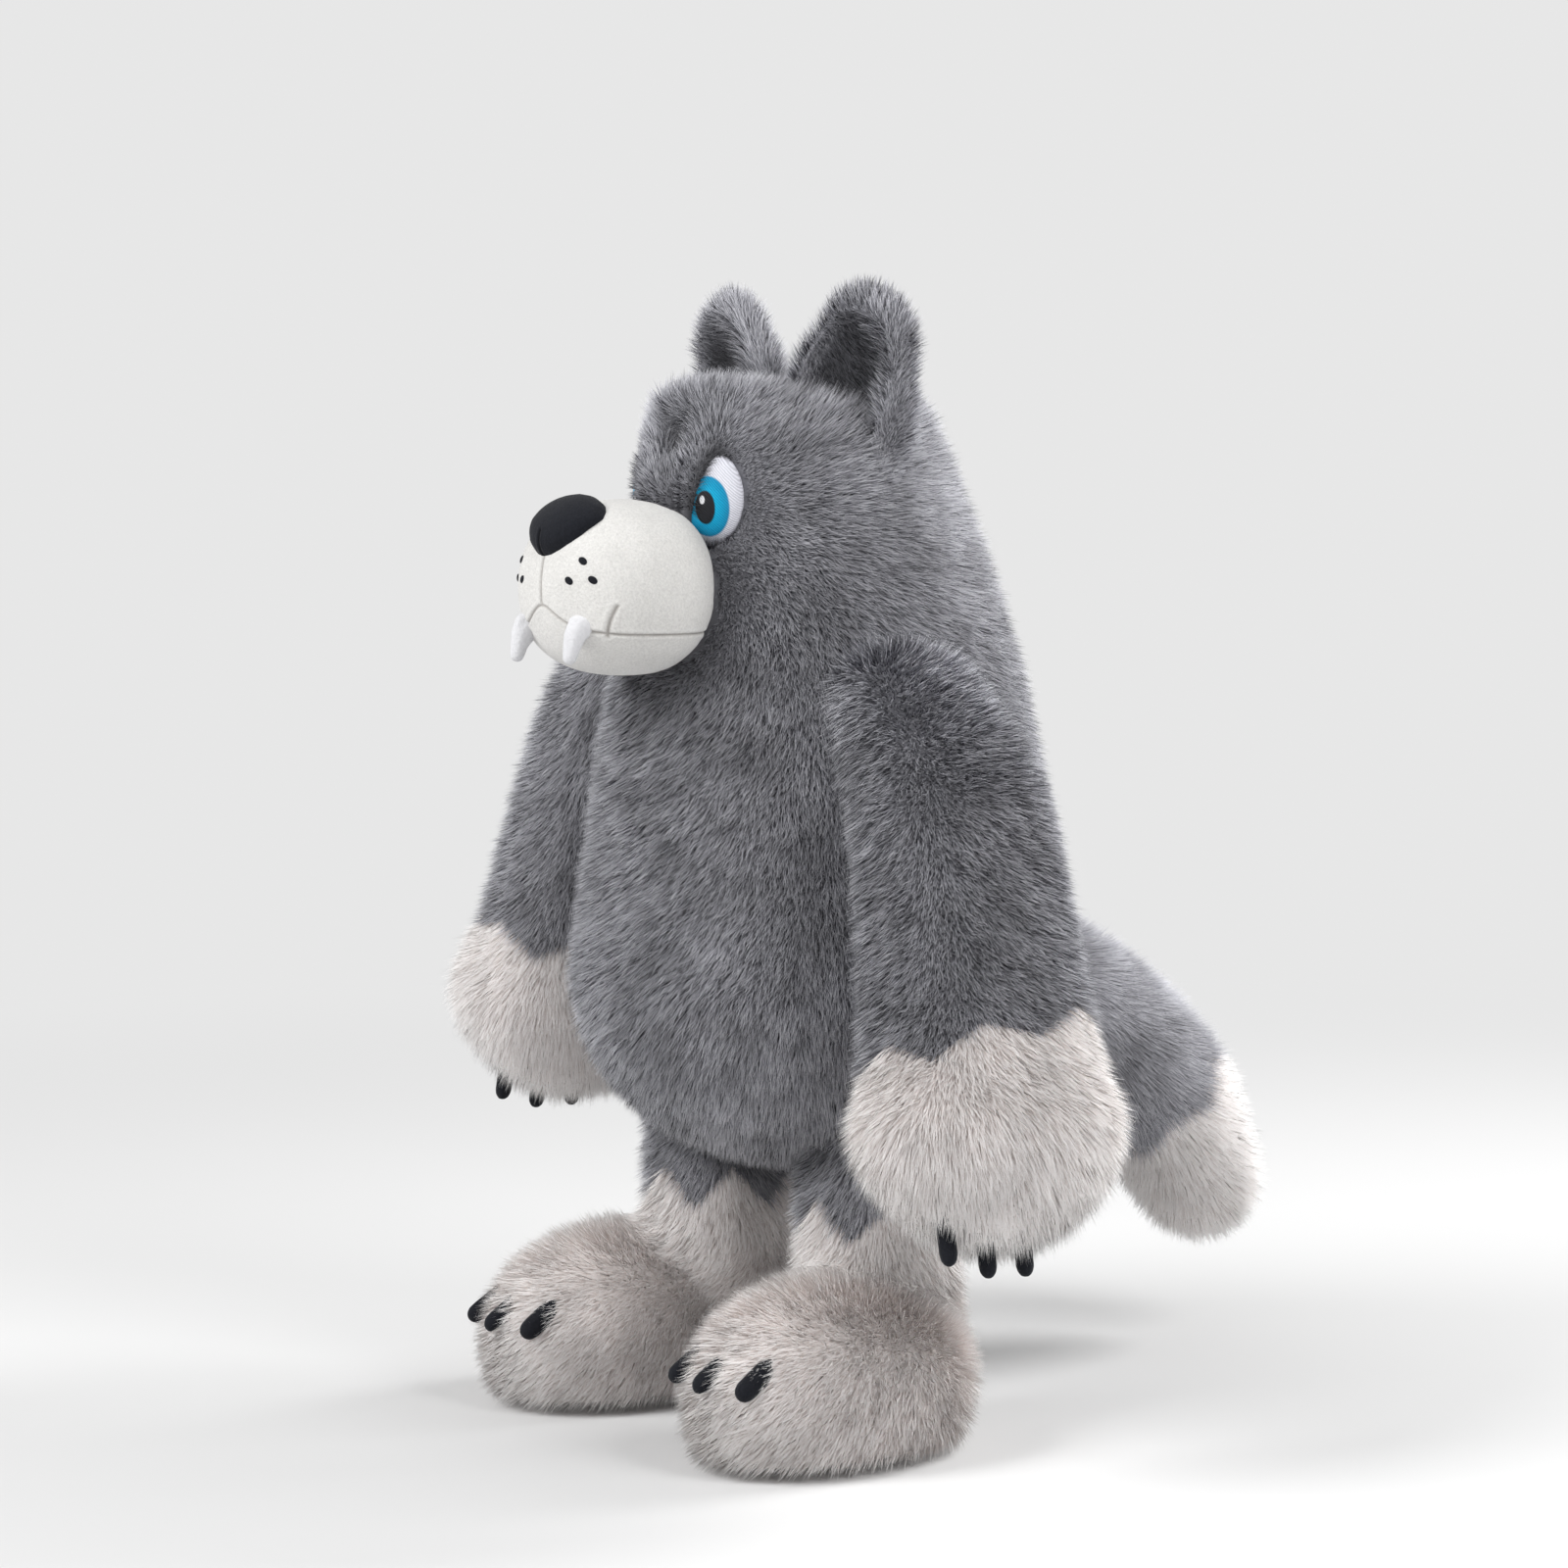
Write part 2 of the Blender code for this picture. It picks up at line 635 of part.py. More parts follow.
def make_foot(name, side, cloth):
    middle, toes, across = foot_axes(side)
    half_width, half_length = FOOT_WIDTH / 2, FOOT_LENGTH / 2
    keys = (
        (0.0, SOLE_MARGIN), (SOLE_ROUND_HEIGHT, SOLE_ROUND_MARGIN), (FOOT_WIDEST_HEIGHT, 0.0),
    )
    stations = [
        (middle.x, middle.y, height, half_width - margin, half_length - margin)
        for height, margin in keys
    ]
    rings, ends, _ = sweep(
        through(stations, 2), across, 28, 0.0, FOOT_HEIGHT - FOOT_WIDEST_HEIGHT,
        cap_rings=6, egg=FOOT_EGG, power=FOOT_POWER,
    )
    return solid(name, rings, ends, cloth)


def make_tail(cloths, head):
    root = Vector((0, BELLY_SETBACK + BELLY_RADIUS - TAIL_ROOT_SIZE / 3, 0))
    root.z = BELLY_HEIGHT - TAIL_ROOT_DROP
    reach = TAIL_REACH - root.y
    sizes = (TAIL_ROOT_SIZE, TAIL_THICKNESS, TAIL_THICKNESS, TAIL_TIP_SIZE)
    stations = [
        (0, root.y + reach * back, root.z - TAIL_DROP * down, size / 2, size / 2)
        for (back, down), size in zip(TAIL_CURVE, sizes)
    ]
    steps = 3
    rings, ends, ways = sweep(
        through(stations, steps), ACROSS, LIMB_SIDES, TAIL_ROOT_SIZE / 4,
        TAIL_TIP_SIZE / 2, cap_rings=3,
    )
    base, tip = two_colour_limb(
        ("tail_base", "tail_tip"), cloths, rings, ends, ways, 3 + 2 * steps, TAIL_ZIGZAG,
    )
    boolean(base, head, "DIFFERENCE")
    return base, tip


def make_claw(name, root, way, length, diameter, cloth, carrier):
    """A stuffed claw: a rounded peg that narrows to its tip, sewn on at its root."""
    radius = diameter / 2
    stop = root + way * (length - radius)
    side = way.orthogonal()
    stations = [(*root, radius, radius), (*stop, radius * CLAW_TAPER, radius * CLAW_TAPER)]
    rings, ends, _ = sweep(
        through(stations, 2), side, 8, radius, radius, cap_rings=2,
    )
    claw = solid(name, rings, ends, cloth)
    boolean(claw, carrier, "DIFFERENCE")
    return claw


def make_foot_claws(word, side, cloth, foot):
    middle, toes, across = foot_axes(side)
    above = (FOOT_CLAW_HEIGHT - FOOT_WIDEST_HEIGHT) / (FOOT_HEIGHT - FOOT_WIDEST_HEIGHT)
    dome = (1 - above**2) ** 0.5
    for index in (-1, 0, 1):
        aside = index * FOOT_CLAW_SPACING
        bow = (1 - abs(2 * aside / FOOT_WIDTH) ** FOOT_POWER) ** (1 / FOOT_POWER)
        seat = middle + toes * (FOOT_LENGTH / 2 * dome * bow) + across * aside
        fan = index * FOOT_CLAW_FAN
        level = toes * cos(fan) + across * sin(fan)
        way = level * cos(FOOT_CLAW_SLANT) - UP * sin(FOOT_CLAW_SLANT)
        root = seat + UP * FOOT_CLAW_HEIGHT - way * (FOOT_CLAW_LENGTH - FOOT_CLAW_PROUD)
        make_claw(
            f"{word}_foot_claw_{index + 2}", root, way, FOOT_CLAW_LENGTH, FOOT_CLAW_DIAMETER,
            cloth, foot,
        )


def make_paw_claws(word, side, cloth, paw):
    shoulder, way, across = arm_axis(side)
    back = across.cross(way)
    back = back if back.y > 0 else -back
    for index in (-1, 0, 1):
        aside = PAW_CLAW_SPACING * index + PAW_CLAW_ADVANCE
        bow = (1 - (2 * aside / PAW_SIZE[1]) ** 2) ** 0.5
        depth = PAW_PLACE + (ARM_LENGTH - PAW_PLACE) * bow
        tip_depth = depth + PAW_CLAW_PROUD
        root = shoulder + way * (tip_depth - PAW_CLAW_LENGTH) - back * aside
        make_claw(
            f"{word}_paw_claw_{index + 2}", root, way, PAW_CLAW_LENGTH, PAW_CLAW_DIAMETER,
            cloth, paw,
        )


def stand_over_origin():
    """Moves everything so that the origin is on the floor, under the middle of the whole wolf."""
    bpy.context.view_layer.update()
    graph = bpy.context.evaluated_depsgraph_get()
    shown = [found for found in bpy.data.objects if not found.hide_render]
    corners = [corner for piece in shown for corner in piece.evaluated_get(graph).bound_box]
    across = [corner[0] for corner in corners]
    along = [corner[1] for corner in corners]
    middle = Vector((max(across) + min(across), max(along) + min(along), 0)) / 2
    for found in bpy.data.objects:
        found.location = -middle


def build():
    clear_scene()
    grey = material("grey_fur", GREY_FUR)
    pale = material("pale_fur", PALE_FUR)
    velour = material("muzzle_velour", VELOUR)
    black = material("black_velour", BLACK_VELOUR)
    white = material("fang_velour", FANG_VELOUR)
    thread = material("eye_thread", EYE_THREAD)

    make_trunk("torso", grey)
    head = make_helper(make_trunk("trunk clearance", grey, SEWN_GAP))
    muzzle = clearance_of(make_muzzle(velour, head))
    make_nose(black, muzzle)
    make_tail((grey, pale), head)
    for word, side in (("left", 1), ("right", -1)):
        make_ear(f"{word}_ear", side, grey, head)
        make_eye(f"{word}_eye", side, thread, head, muzzle)
        make_fang(f"{word}_fang", side, white, muzzle)
        _, paw = make_arm(word, side, (grey, pale), head)
        make_paw_claws(word, side, black, clearance_of(paw))
        foot = make_foot(f"{word}_foot", side, pale)
        foot_cutter = clearance_of(foot)
        make_leg(word, side, (grey, pale), head, foot_cutter)
        make_foot_claws(word, side, black, foot_cutter)
    stand_over_origin()


build()
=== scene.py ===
# %% [markdown]
# # A plush wolf
# A stuffed wolf of long-pile fur stands on its own feet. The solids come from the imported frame.
# Here each fur form gets a skin that is a little smaller than its solid, and a pile of real
# strands on it. The smooth pieces (muzzle, nose, fangs, eyes, claws) are sewn or embroidered, so
# they are modelled with their seams and stitches.

from math import cos, pi, radians, sin

import bmesh
import bpy
import numpy as np
from mathutils import Matrix, Vector
from mathutils.bvhtree import BVHTree


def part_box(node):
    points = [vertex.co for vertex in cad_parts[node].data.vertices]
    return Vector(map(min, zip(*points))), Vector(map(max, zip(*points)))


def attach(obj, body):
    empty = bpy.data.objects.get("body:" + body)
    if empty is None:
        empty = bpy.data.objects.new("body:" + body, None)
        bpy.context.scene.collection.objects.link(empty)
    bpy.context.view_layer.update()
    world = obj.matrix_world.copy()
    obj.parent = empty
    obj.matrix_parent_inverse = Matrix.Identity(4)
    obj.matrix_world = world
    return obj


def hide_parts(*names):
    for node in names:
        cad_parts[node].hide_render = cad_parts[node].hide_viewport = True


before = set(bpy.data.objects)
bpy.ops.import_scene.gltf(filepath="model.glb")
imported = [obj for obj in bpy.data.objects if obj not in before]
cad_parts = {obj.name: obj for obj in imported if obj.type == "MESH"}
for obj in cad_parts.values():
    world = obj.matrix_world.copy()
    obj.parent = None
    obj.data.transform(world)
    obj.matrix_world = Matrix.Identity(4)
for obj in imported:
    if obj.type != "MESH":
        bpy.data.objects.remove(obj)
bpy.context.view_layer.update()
print("solids:", len(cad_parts))

# %% [markdown]
# ## Helpers
# The steps below repeat a few small jobs: selecting one piece, adding a node with its inputs,
# reading and moving the corners of a mesh, and keeping a value for each corner as an attribute,
# which both Geometry Nodes and materials can read. Each is written once, here.

# %% Helpers for selecting, nodes and corners


def select_only(piece):
    bpy.ops.object.select_all(action="DESELECT")
    piece.select_set(True)
    bpy.context.view_layer.objects.active = piece


def set_inputs(tree, node, inputs):
    """Gives each input its value, or a link from the socket that it takes."""
    for key, value in inputs.items():
        if isinstance(value, bpy.types.NodeSocket):
            tree.links.new(value, node.inputs[key])
        else:
            node.inputs[key].default_value = value


def add_node(tree, kind, inputs=None, **settings):
    made = tree.nodes.new(kind)
    for key, value in settings.items():
        setattr(made, key, value)
    set_inputs(tree, made, inputs or {})
    return made


def new_look(name):
    """A new material, its node tree and its Principled shader."""
    look = bpy.data.materials.new(name)
    look.use_nodes = True
    return look, look.node_tree, look.node_tree.nodes["Principled BSDF"]


def shaded(tree, colour, shade):
    """A colour made lighter or darker by a number."""
    return add_node(
        tree, "ShaderNodeVectorMath", {0: colour, "Scale": shade}, operation="SCALE"
    ).outputs[0]


def colour_ramp(tree, place, *stops):
    """The colours between some stops, each a place from 0 to 1 and a colour."""
    made = add_node(tree, "ShaderNodeValToRGB", {0: place})
    ends = made.color_ramp.elements
    for end, (position, colour) in ((ends[0], stops[0]), (ends[1], stops[-1])):
        end.position = position
        end.color = (*colour, 1)
    for position, colour in stops[1:-1]:
        ends.new(position).color = (*colour, 1)
    return made.outputs[0]


def corners_of(mesh):
    """The places and normals of a mesh's corners, as arrays."""
    places = np.empty(len(mesh.vertices) * 3, np.float32)
    mesh.vertices.foreach_get("co", places)
    normals = np.empty(len(mesh.vertices) * 3, np.float32)
    mesh.vertices.foreach_get("normal", normals)
    return places.reshape(-1, 3), normals.reshape(-1, 3)


def move_corners(piece, places):
    piece.data.vertices.foreach_set("co", np.asarray(places, np.float32).ravel())
    piece.data.update()


def keep_values(piece, name, values):
    """Keeps one number for each corner under this name."""
    kept = piece.data.attributes.new(name, "FLOAT", "POINT")
    kept.data.foreach_set("value", np.asarray(values, np.float32))


def values_of(mesh, name):
    found = np.empty(len(mesh.vertices), np.float32)
    mesh.attributes[name].data.foreach_get("value", found)
    return found


def corner_of_loops(mesh):
    corner = np.empty(len(mesh.loops), np.int32)
    mesh.loops.foreach_get("vertex_index", corner)
    return corner


def box_middle(node):
    low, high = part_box(node)
    return (low + high) / 2


print("middle of the torso:", box_middle("torso"))

# %% [markdown]
# ## The camera
# The photograph was taken with a long lens from two metres away, at the height of the wolf's face
# and looking down by a few degrees.

# %% The camera
CAMERA_PLACE = (1.6361, -1.3690, 0.489)
CAMERA_TURN = radians(52)
CAMERA_TILT = radians(4.3)
CAMERA_LENS = 91.5
SENSOR_WIDTH = 36
SIDE_SHIFT = -0.0019

bpy.ops.object.select_all(action="DESELECT")
bpy.ops.object.camera_add(
    location=CAMERA_PLACE, rotation=(pi / 2 - CAMERA_TILT, 0, CAMERA_TURN)
)
camera = bpy.context.object
camera.data.lens = CAMERA_LENS
camera.data.sensor_width = SENSOR_WIDTH
camera.data.shift_x = SIDE_SHIFT
bpy.context.scene.camera = camera
print("camera to the nose:", round((Vector(CAMERA_PLACE) - Vector(box_middle("nose"))).length, 3))

# %% [markdown]
# ## The studio
# A pale floor, a pale world that the camera sees as one plain colour, and large soft lamps: one
# in front on the wolf's right, one high on its left and one behind that draws the fur's edge.

# %% Floor, world and lamps
STUDIO_PALE = (0.80, 0.80, 0.80)
FLOOR_COLOUR = (0.74, 0.74, 0.74)
FADE_START, FADE_END = 0.35, 1.8
SKY_STRENGTH = 0.37
LAMP_AIM = (0, 0, 0.3)


def plain_pale(tree, shader, output):
    """The camera and mirrors see one plain colour wherever no surface is in the way."""
    path = add_node(tree, "ShaderNodeLightPath").outputs
    seen = path["Is Camera Ray"]
    for ray in ("Is Glossy Ray", "Is Transmission Ray"):
        inputs = {0: seen, 1: path[ray]}
        seen = add_node(tree, "ShaderNodeMath", inputs, operation="MAXIMUM").outputs[0]
    plain = add_node(tree, "ShaderNodeBackground", {"Color": (*STUDIO_PALE, 1)}).outputs[0]
    mix = add_node(tree, "ShaderNodeMixShader", {0: seen, 1: shader, 2: plain})
    tree.links.new(mix.outputs[0], output)


world = bpy.data.worlds.new("studio")
bpy.context.scene.world = world
world.use_nodes = True
sky = world.node_tree.nodes["Background"]
sky.inputs["Color"].default_value = (1, 1, 1, 1)
sky.inputs["Strength"].default_value = SKY_STRENGTH
plain_pale(world.node_tree, sky.outputs[0], world.node_tree.nodes["World Output"].inputs[0])

bpy.ops.object.select_all(action="DESELECT")
bpy.ops.mesh.primitive_plane_add(size=12, location=(0, 0, 0))
floor = bpy.context.object
floor.name = "studio_floor"


def fading_floor():
    """A pale floor that turns into the backdrop's plain colour away from the wolf."""
    look, tree, shader = new_look("studio_floor")
    set_inputs(tree, shader, {"Base Color": (*FLOOR_COLOUR, 1), "Roughness": 0.9})
    place = add_node(tree, "ShaderNodeTexCoord").outputs["Object"]
    reach = add_node(tree, "ShaderNodeVectorMath", {0: place}, operation="LENGTH")
    fade = add_node(
        tree, "ShaderNodeMapRange",
        {"Value": reach.outputs["Value"], "From Min": FADE_START, "From Max": FADE_END},
        interpolation_type="SMOOTHSTEP",
    ).outputs[0]
    camera_ray = add_node(tree, "ShaderNodeLightPath").outputs["Is Camera Ray"]
    seen = add_node(tree, "ShaderNodeMath", {0: camera_ray, 1: fade}, operation="MULTIPLY")
    plain = add_node(tree, "ShaderNodeEmission", {"Color": (*STUDIO_PALE, 1)}).outputs[0]
    inputs = {0: seen.outputs[0], 1: shader.outputs[0], 2: plain}
    mix = add_node(tree, "ShaderNodeMixShader", inputs)
    tree.links.new(mix.outputs[0], tree.nodes["Material Output"].inputs[0])
    return look


floor.data.materials.append(fading_floor())


def soft_lamp(name, place, size, power):
    """A round lamp, large enough for soft shadows, aimed at the wolf's middle."""
    bpy.ops.object.select_all(action="DESELECT")
    bpy.ops.object.light_add(type="AREA", location=place)
    lamp = bpy.context.object
    lamp.name = name
    lamp.data.shape = "DISK"
    lamp.data.size = size
    lamp.data.energy = power
    way = Vector(LAMP_AIM) - Vector(place)
    lamp.rotation_euler = way.to_track_quat("-Z", "Y").to_euler()


soft_lamp("front_lamp", (-0.4, -2.2, 1.9), 1.4, 58)
soft_lamp("side_lamp", (2.2, 0.2, 1.8), 1.4, 30)
soft_lamp("edge_lamp", (0.7, 2.2, 1.5), 1.2, 56)

# %% [markdown]
# ## Long-pile fur
# Plush fur is a knitted backing with fibres that stand out of it and lie one way. A bump can't
# give its soft outline, and the pile here is deep enough to see single tufts, so every strand is
# a real narrow blade. Each skin is the solid's own form, fused where two panels meet, softened,
# and set in by the depth of the pile. Geometry Nodes scatters the blades on it, each tipped over
# in the way that the pile is brushed.

# %% The blade
bpy.ops.object.select_all(action="DESELECT")
bpy.ops.mesh.primitive_plane_add(size=1)
blade = bpy.context.object
blade.name = "blade"
bpy.ops.object.mode_set(mode="EDIT")
bpy.ops.mesh.select_all(action="SELECT")
bpy.ops.transform.rotate(
    value=pi / 2, orient_axis="X", orient_type="GLOBAL", center_override=(0, 0, 0)
)
bpy.ops.transform.translate(value=(0, 0, 0.5))
shape = bmesh.from_edit_mesh(blade.data)
for vert in shape.verts:
    vert.select = vert.co.z > 0.5
shape.select_flush_mode()
bmesh.update_edit_mesh(blade.data)
bpy.ops.mesh.merge(type="CENTER")
bpy.ops.object.mode_set(mode="OBJECT")
keep_values(blade, "along", np.clip(corners_of(blade.data)[0][:, 2], 0, 1))
blade.hide_render = True
blade.hide_viewport = True
print("a blade has", len(blade.data.vertices), "corners")

# %% [markdown]
# ## Skins
# The real skins are sewn panels pulled tight over stuffing, so they are smooth and round, without
# the facets of the solids. A voxel remesh fuses the panels of one limb, a smoothing pass takes
# the facets away, and each corner moves inwards by the depth of the pile. What is sewn to the
# trunk is first rooted deeper, because the trunk's skin is set in as well.

# %% Copies


def twin_of(piece, name):
    """A copy with a mesh of its own, free of its parent and of its marks."""
    twin = piece.copy()
    twin.data = twin.data.copy()
    twin.name = name
    twin.parent = None
    for key in list(twin.keys()):
        del twin[key]
    bpy.context.scene.collection.objects.link(twin)
    return twin


def copy_of(name, nodes):
    """One mesh of the named solids, with its doubles merged."""
    bpy.ops.object.select_all(action="DESELECT")
    copies = [twin_of(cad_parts[node], name) for node in nodes]
    for twin in copies:
        twin.hide_render = False
        twin.hide_viewport = False
        twin.select_set(True)
    bpy.context.view_layer.objects.active = copies[0]
    if len(copies) > 1:
        bpy.ops.object.join()
    made = bpy.context.object
    made.name = name
    made.data.materials.clear()
    bpy.ops.object.mode_set(mode="EDIT")
    bpy.ops.mesh.select_all(action="SELECT")
    bpy.ops.mesh.remove_doubles(threshold=0.00001)
    bpy.ops.object.mode_set(mode="OBJECT")
    return made


def apply_modifier(piece, kind, **settings):
    """Adds one modifier with these settings and applies it."""
    select_only(piece)
    step = piece.modifiers.new(kind.lower(), kind)
    for key, value in settings.items():
        setattr(step, key, value)
    bpy.ops.object.modifier_apply(modifier=step.name)


# %% [markdown]
# Length, folds and bare places of the pile depend on what is near. A tree of a solid's faces
# answers that fast: the nearest face gives the distance, and a line that crosses the faces an odd
# number of times started inside.

# %% Distances from the solids
FAR_ENOUGH = 0.06


def tree_of(mesh):
    return BVHTree.FromPolygons([v.co for v in mesh.vertices], [p.vertices for p in mesh.polygons])


def distance_from(places, nodes):
    """How far each place is from the nearest surface of the named solids."""
    nearest = np.full(len(places), 1.0)
    for node in nodes:
        tree = tree_of(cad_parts[node].data)
        for index, place in enumerate(places):
            reach = tree.find_nearest(Vector(place), FAR_ENOUGH)[3]
            if reach is not None:
                nearest[index] = min(nearest[index], reach)
    return nearest


def inside_of(places, nodes):
    """Which places are inside one of the named solids: a line from there leaves it once more."""
    way = Vector((0.31, 0.17, 0.93)).normalized()
    inside = np.zeros(len(places), bool)
    for node in nodes:
        tree = tree_of(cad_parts[node].data)
        for index, place in enumerate(places):
            crossings, start = 0, Vector(place)
            hit = tree.ray_cast(start, way)[0]
            while hit is not None and crossings < 20:
                crossings += 1
                hit = tree.ray_cast(hit + way * 0.00002, way)[0]
            inside[index] |= crossings % 2 == 1
    return inside


print("middle of the nose to the muzzle:", distance_from([box_middle("nose")], ["muzzle"])[0])

# %% Skins


def edit_corners(piece, chosen):
    """Opens the piece for editing, with only these corners selected."""
    select_only(piece)
    bpy.ops.object.mode_set(mode="EDIT")
    bpy.ops.mesh.select_mode(type="VERT")
    bpy.ops.mesh.select_all(action="DESELECT")
    shape = bmesh.from_edit_mesh(piece.data)
    for vert, wanted in zip(shape.verts, chosen):
        vert.select = bool(wanted)
    shape.select_flush_mode()
    bmesh.update_edit_mesh(piece.data)


def cut_finer(piece, chosen, cuts):
    """Cuts the faces between these corners, and gives the places and normals of all corners."""
    edit_corners(piece, chosen)
    bpy.ops.mesh.subdivide(number_cuts=cuts, smoothness=0)
    bpy.ops.object.mode_set(mode="OBJECT")
    return corners_of(piece.data)


def fuse(piece, voxel, smoothing):
    """One closed skin around the solids, with their facets smoothed away."""
    apply_modifier(piece, "REMESH", mode="VOXEL", voxel_size=voxel, use_smooth_shade=True)
    apply_modifier(piece, "SMOOTH", factor=0.5, iterations=smoothing)
    return corners_of(piece.data)


def root_deeper(piece, carriers, shift, reach=0.0009, narrow=1.0):
    """Moves the face that sits on its carrier into it, so that no gap shows between them, and
    narrows it, so that it stays behind the piece."""
    places, _ = corners_of(piece.data)
    seated = distance_from(places, carriers) < reach
    edit_corners(piece, seated)
    bpy.ops.transform.translate(value=shift)
    if narrow < 1:
        middle = places[seated].mean(axis=0)
        bpy.ops.transform.resize(value=(narrow, 1, narrow), center_override=middle)
    bpy.ops.object.mode_set(mode="OBJECT")


SHORT_PILE = 0.003
SHORT_PILE_REACH = 0.006
PILE_GROWS_OVER = 0.022


def make_skin(name, nodes, depth, voxel=0.005, smoothing=6, shallow=(), into=None):
    """The backing cloth: the solids fused, softened and set in by the depth of the pile.

    Close to the shallow nodes, which are smooth pieces, the pile is short and the skin higher.
    What is sewn to the trunk is drawn into it first, as its skin is set in too.
    """
    skin = copy_of(name, nodes)
    if into is not None:
        root_deeper(skin, ["torso"], into)
    places, normals = fuse(skin, voxel, smoothing)
    away = distance_from(places, shallow) if shallow else np.full(len(places), 1.0)
    grown = np.clip((away - SHORT_PILE_REACH) / PILE_GROWS_OVER, 0, 1)
    deep = SHORT_PILE + (depth - SHORT_PILE) * grown
    move_corners(skin, places - normals * deep[:, None])
    apply_modifier(skin, "SMOOTH", factor=0.5, iterations=3)
    skin.data.shade_smooth()
    keep_values(skin, "deep", deep)
    return skin


# %% [markdown]
# ## Brushing
# Real pile is combed one way on each panel, and the comb and the length change over the skin: long
# on the cheeks, upright beside the muzzle, none on the soles or inside the trunk. Folds and
# creases get painted shade, and a few rims and tops get painted light. So each corner of the skin
# keeps a way, a length, a painted shade or light and whether it is bare.

# %% Brushing
UPRIGHT_REACH = 0.020
SOLE_HEIGHT = 0.012
BURIED_DEPTH = 0.010


def brush(
    skin, way_of, longer=1.9, length_of=None, painted_shade_and_light_of=None, upright_near=(),
    bare_near=(), bare_in=(), bare_too=None,
):
    """Keeps on each corner the pile's way, length, painted shade or light, and where it is bare.
    """
    places, normals = corners_of(skin.data)
    ways = np.asarray(way_of(places, normals), np.float32)
    ways /= np.linalg.norm(ways, axis=1, keepdims=True) + 1e-6
    ways = ways - normals * np.sum(ways * normals, axis=1, keepdims=True)
    if upright_near:
        share = np.clip(distance_from(places, upright_near) / UPRIGHT_REACH, 0, 1)
        ways = ways * (0.3 + 0.7 * share)[:, None].astype(np.float32)
    comb = skin.data.attributes.new("comb", "FLOAT_VECTOR", "POINT")
    comb.data.foreach_set("vector", ways.ravel())
    deep = values_of(skin.data, "deep")
    room = np.clip((places[:, 2] + 0.002) / 0.012, 0.35, 1)
    length = deep * longer * room
    if length_of is not None:
        length = length * length_of(places, normals)
    bare = np.zeros(len(places), np.float32)
    bare[(places[:, 2] < SOLE_HEIGHT) & (normals[:, 2] < -0.8)] = 1
    if bare_near:
        bare[distance_from(places, bare_near) < deep + 0.0004] = 1
    if bare_in:
        bare[inside_of(places, bare_in) & (distance_from(places, bare_in) > BURIED_DEPTH)] = 1
    if bare_too is not None:
        bare[bare_too] = 1
    keep_values(skin, "pile", length)
    # hollow holds painted shade where it is above 0 and painted light where it is below 0.
    keep_values(skin, "hollow", painted_shade_and_light_of(places) if painted_shade_and_light_of else np.zeros(len(places)))
    keep_values(skin, "bare", bare)


# %% [markdown]
# ## The scatter
# Fibres could be hair curves, but those don't leave the scene as a mesh. Instead Geometry Nodes
# puts points on the skin, none closer to the next than the spacing, drops those of other panels,
# and sets a blade on each. Its way is the skin's normal, plus the brushed way, a clump's and its
# own small turn.

# %% The scatter, as a node group
PILE_SETTINGS = (
    ("Geometry", "Geometry", None), ("Blade", "Object", None), ("Own", "Object", None),
    ("Other", "Object", None), ("Panel", "Float", 0.0), ("Density", "Float", 1700000.0),
    ("Spacing", "Float", 0.00044), ("Width", "Float", 0.00050), ("Lean", "Float", 0.75),
    ("Stray", "Float", 0.32), ("Clump", "Float", 0.18), ("Clump Scale", "Float", 90.0),
    ("Seed", "Int", 1),
)


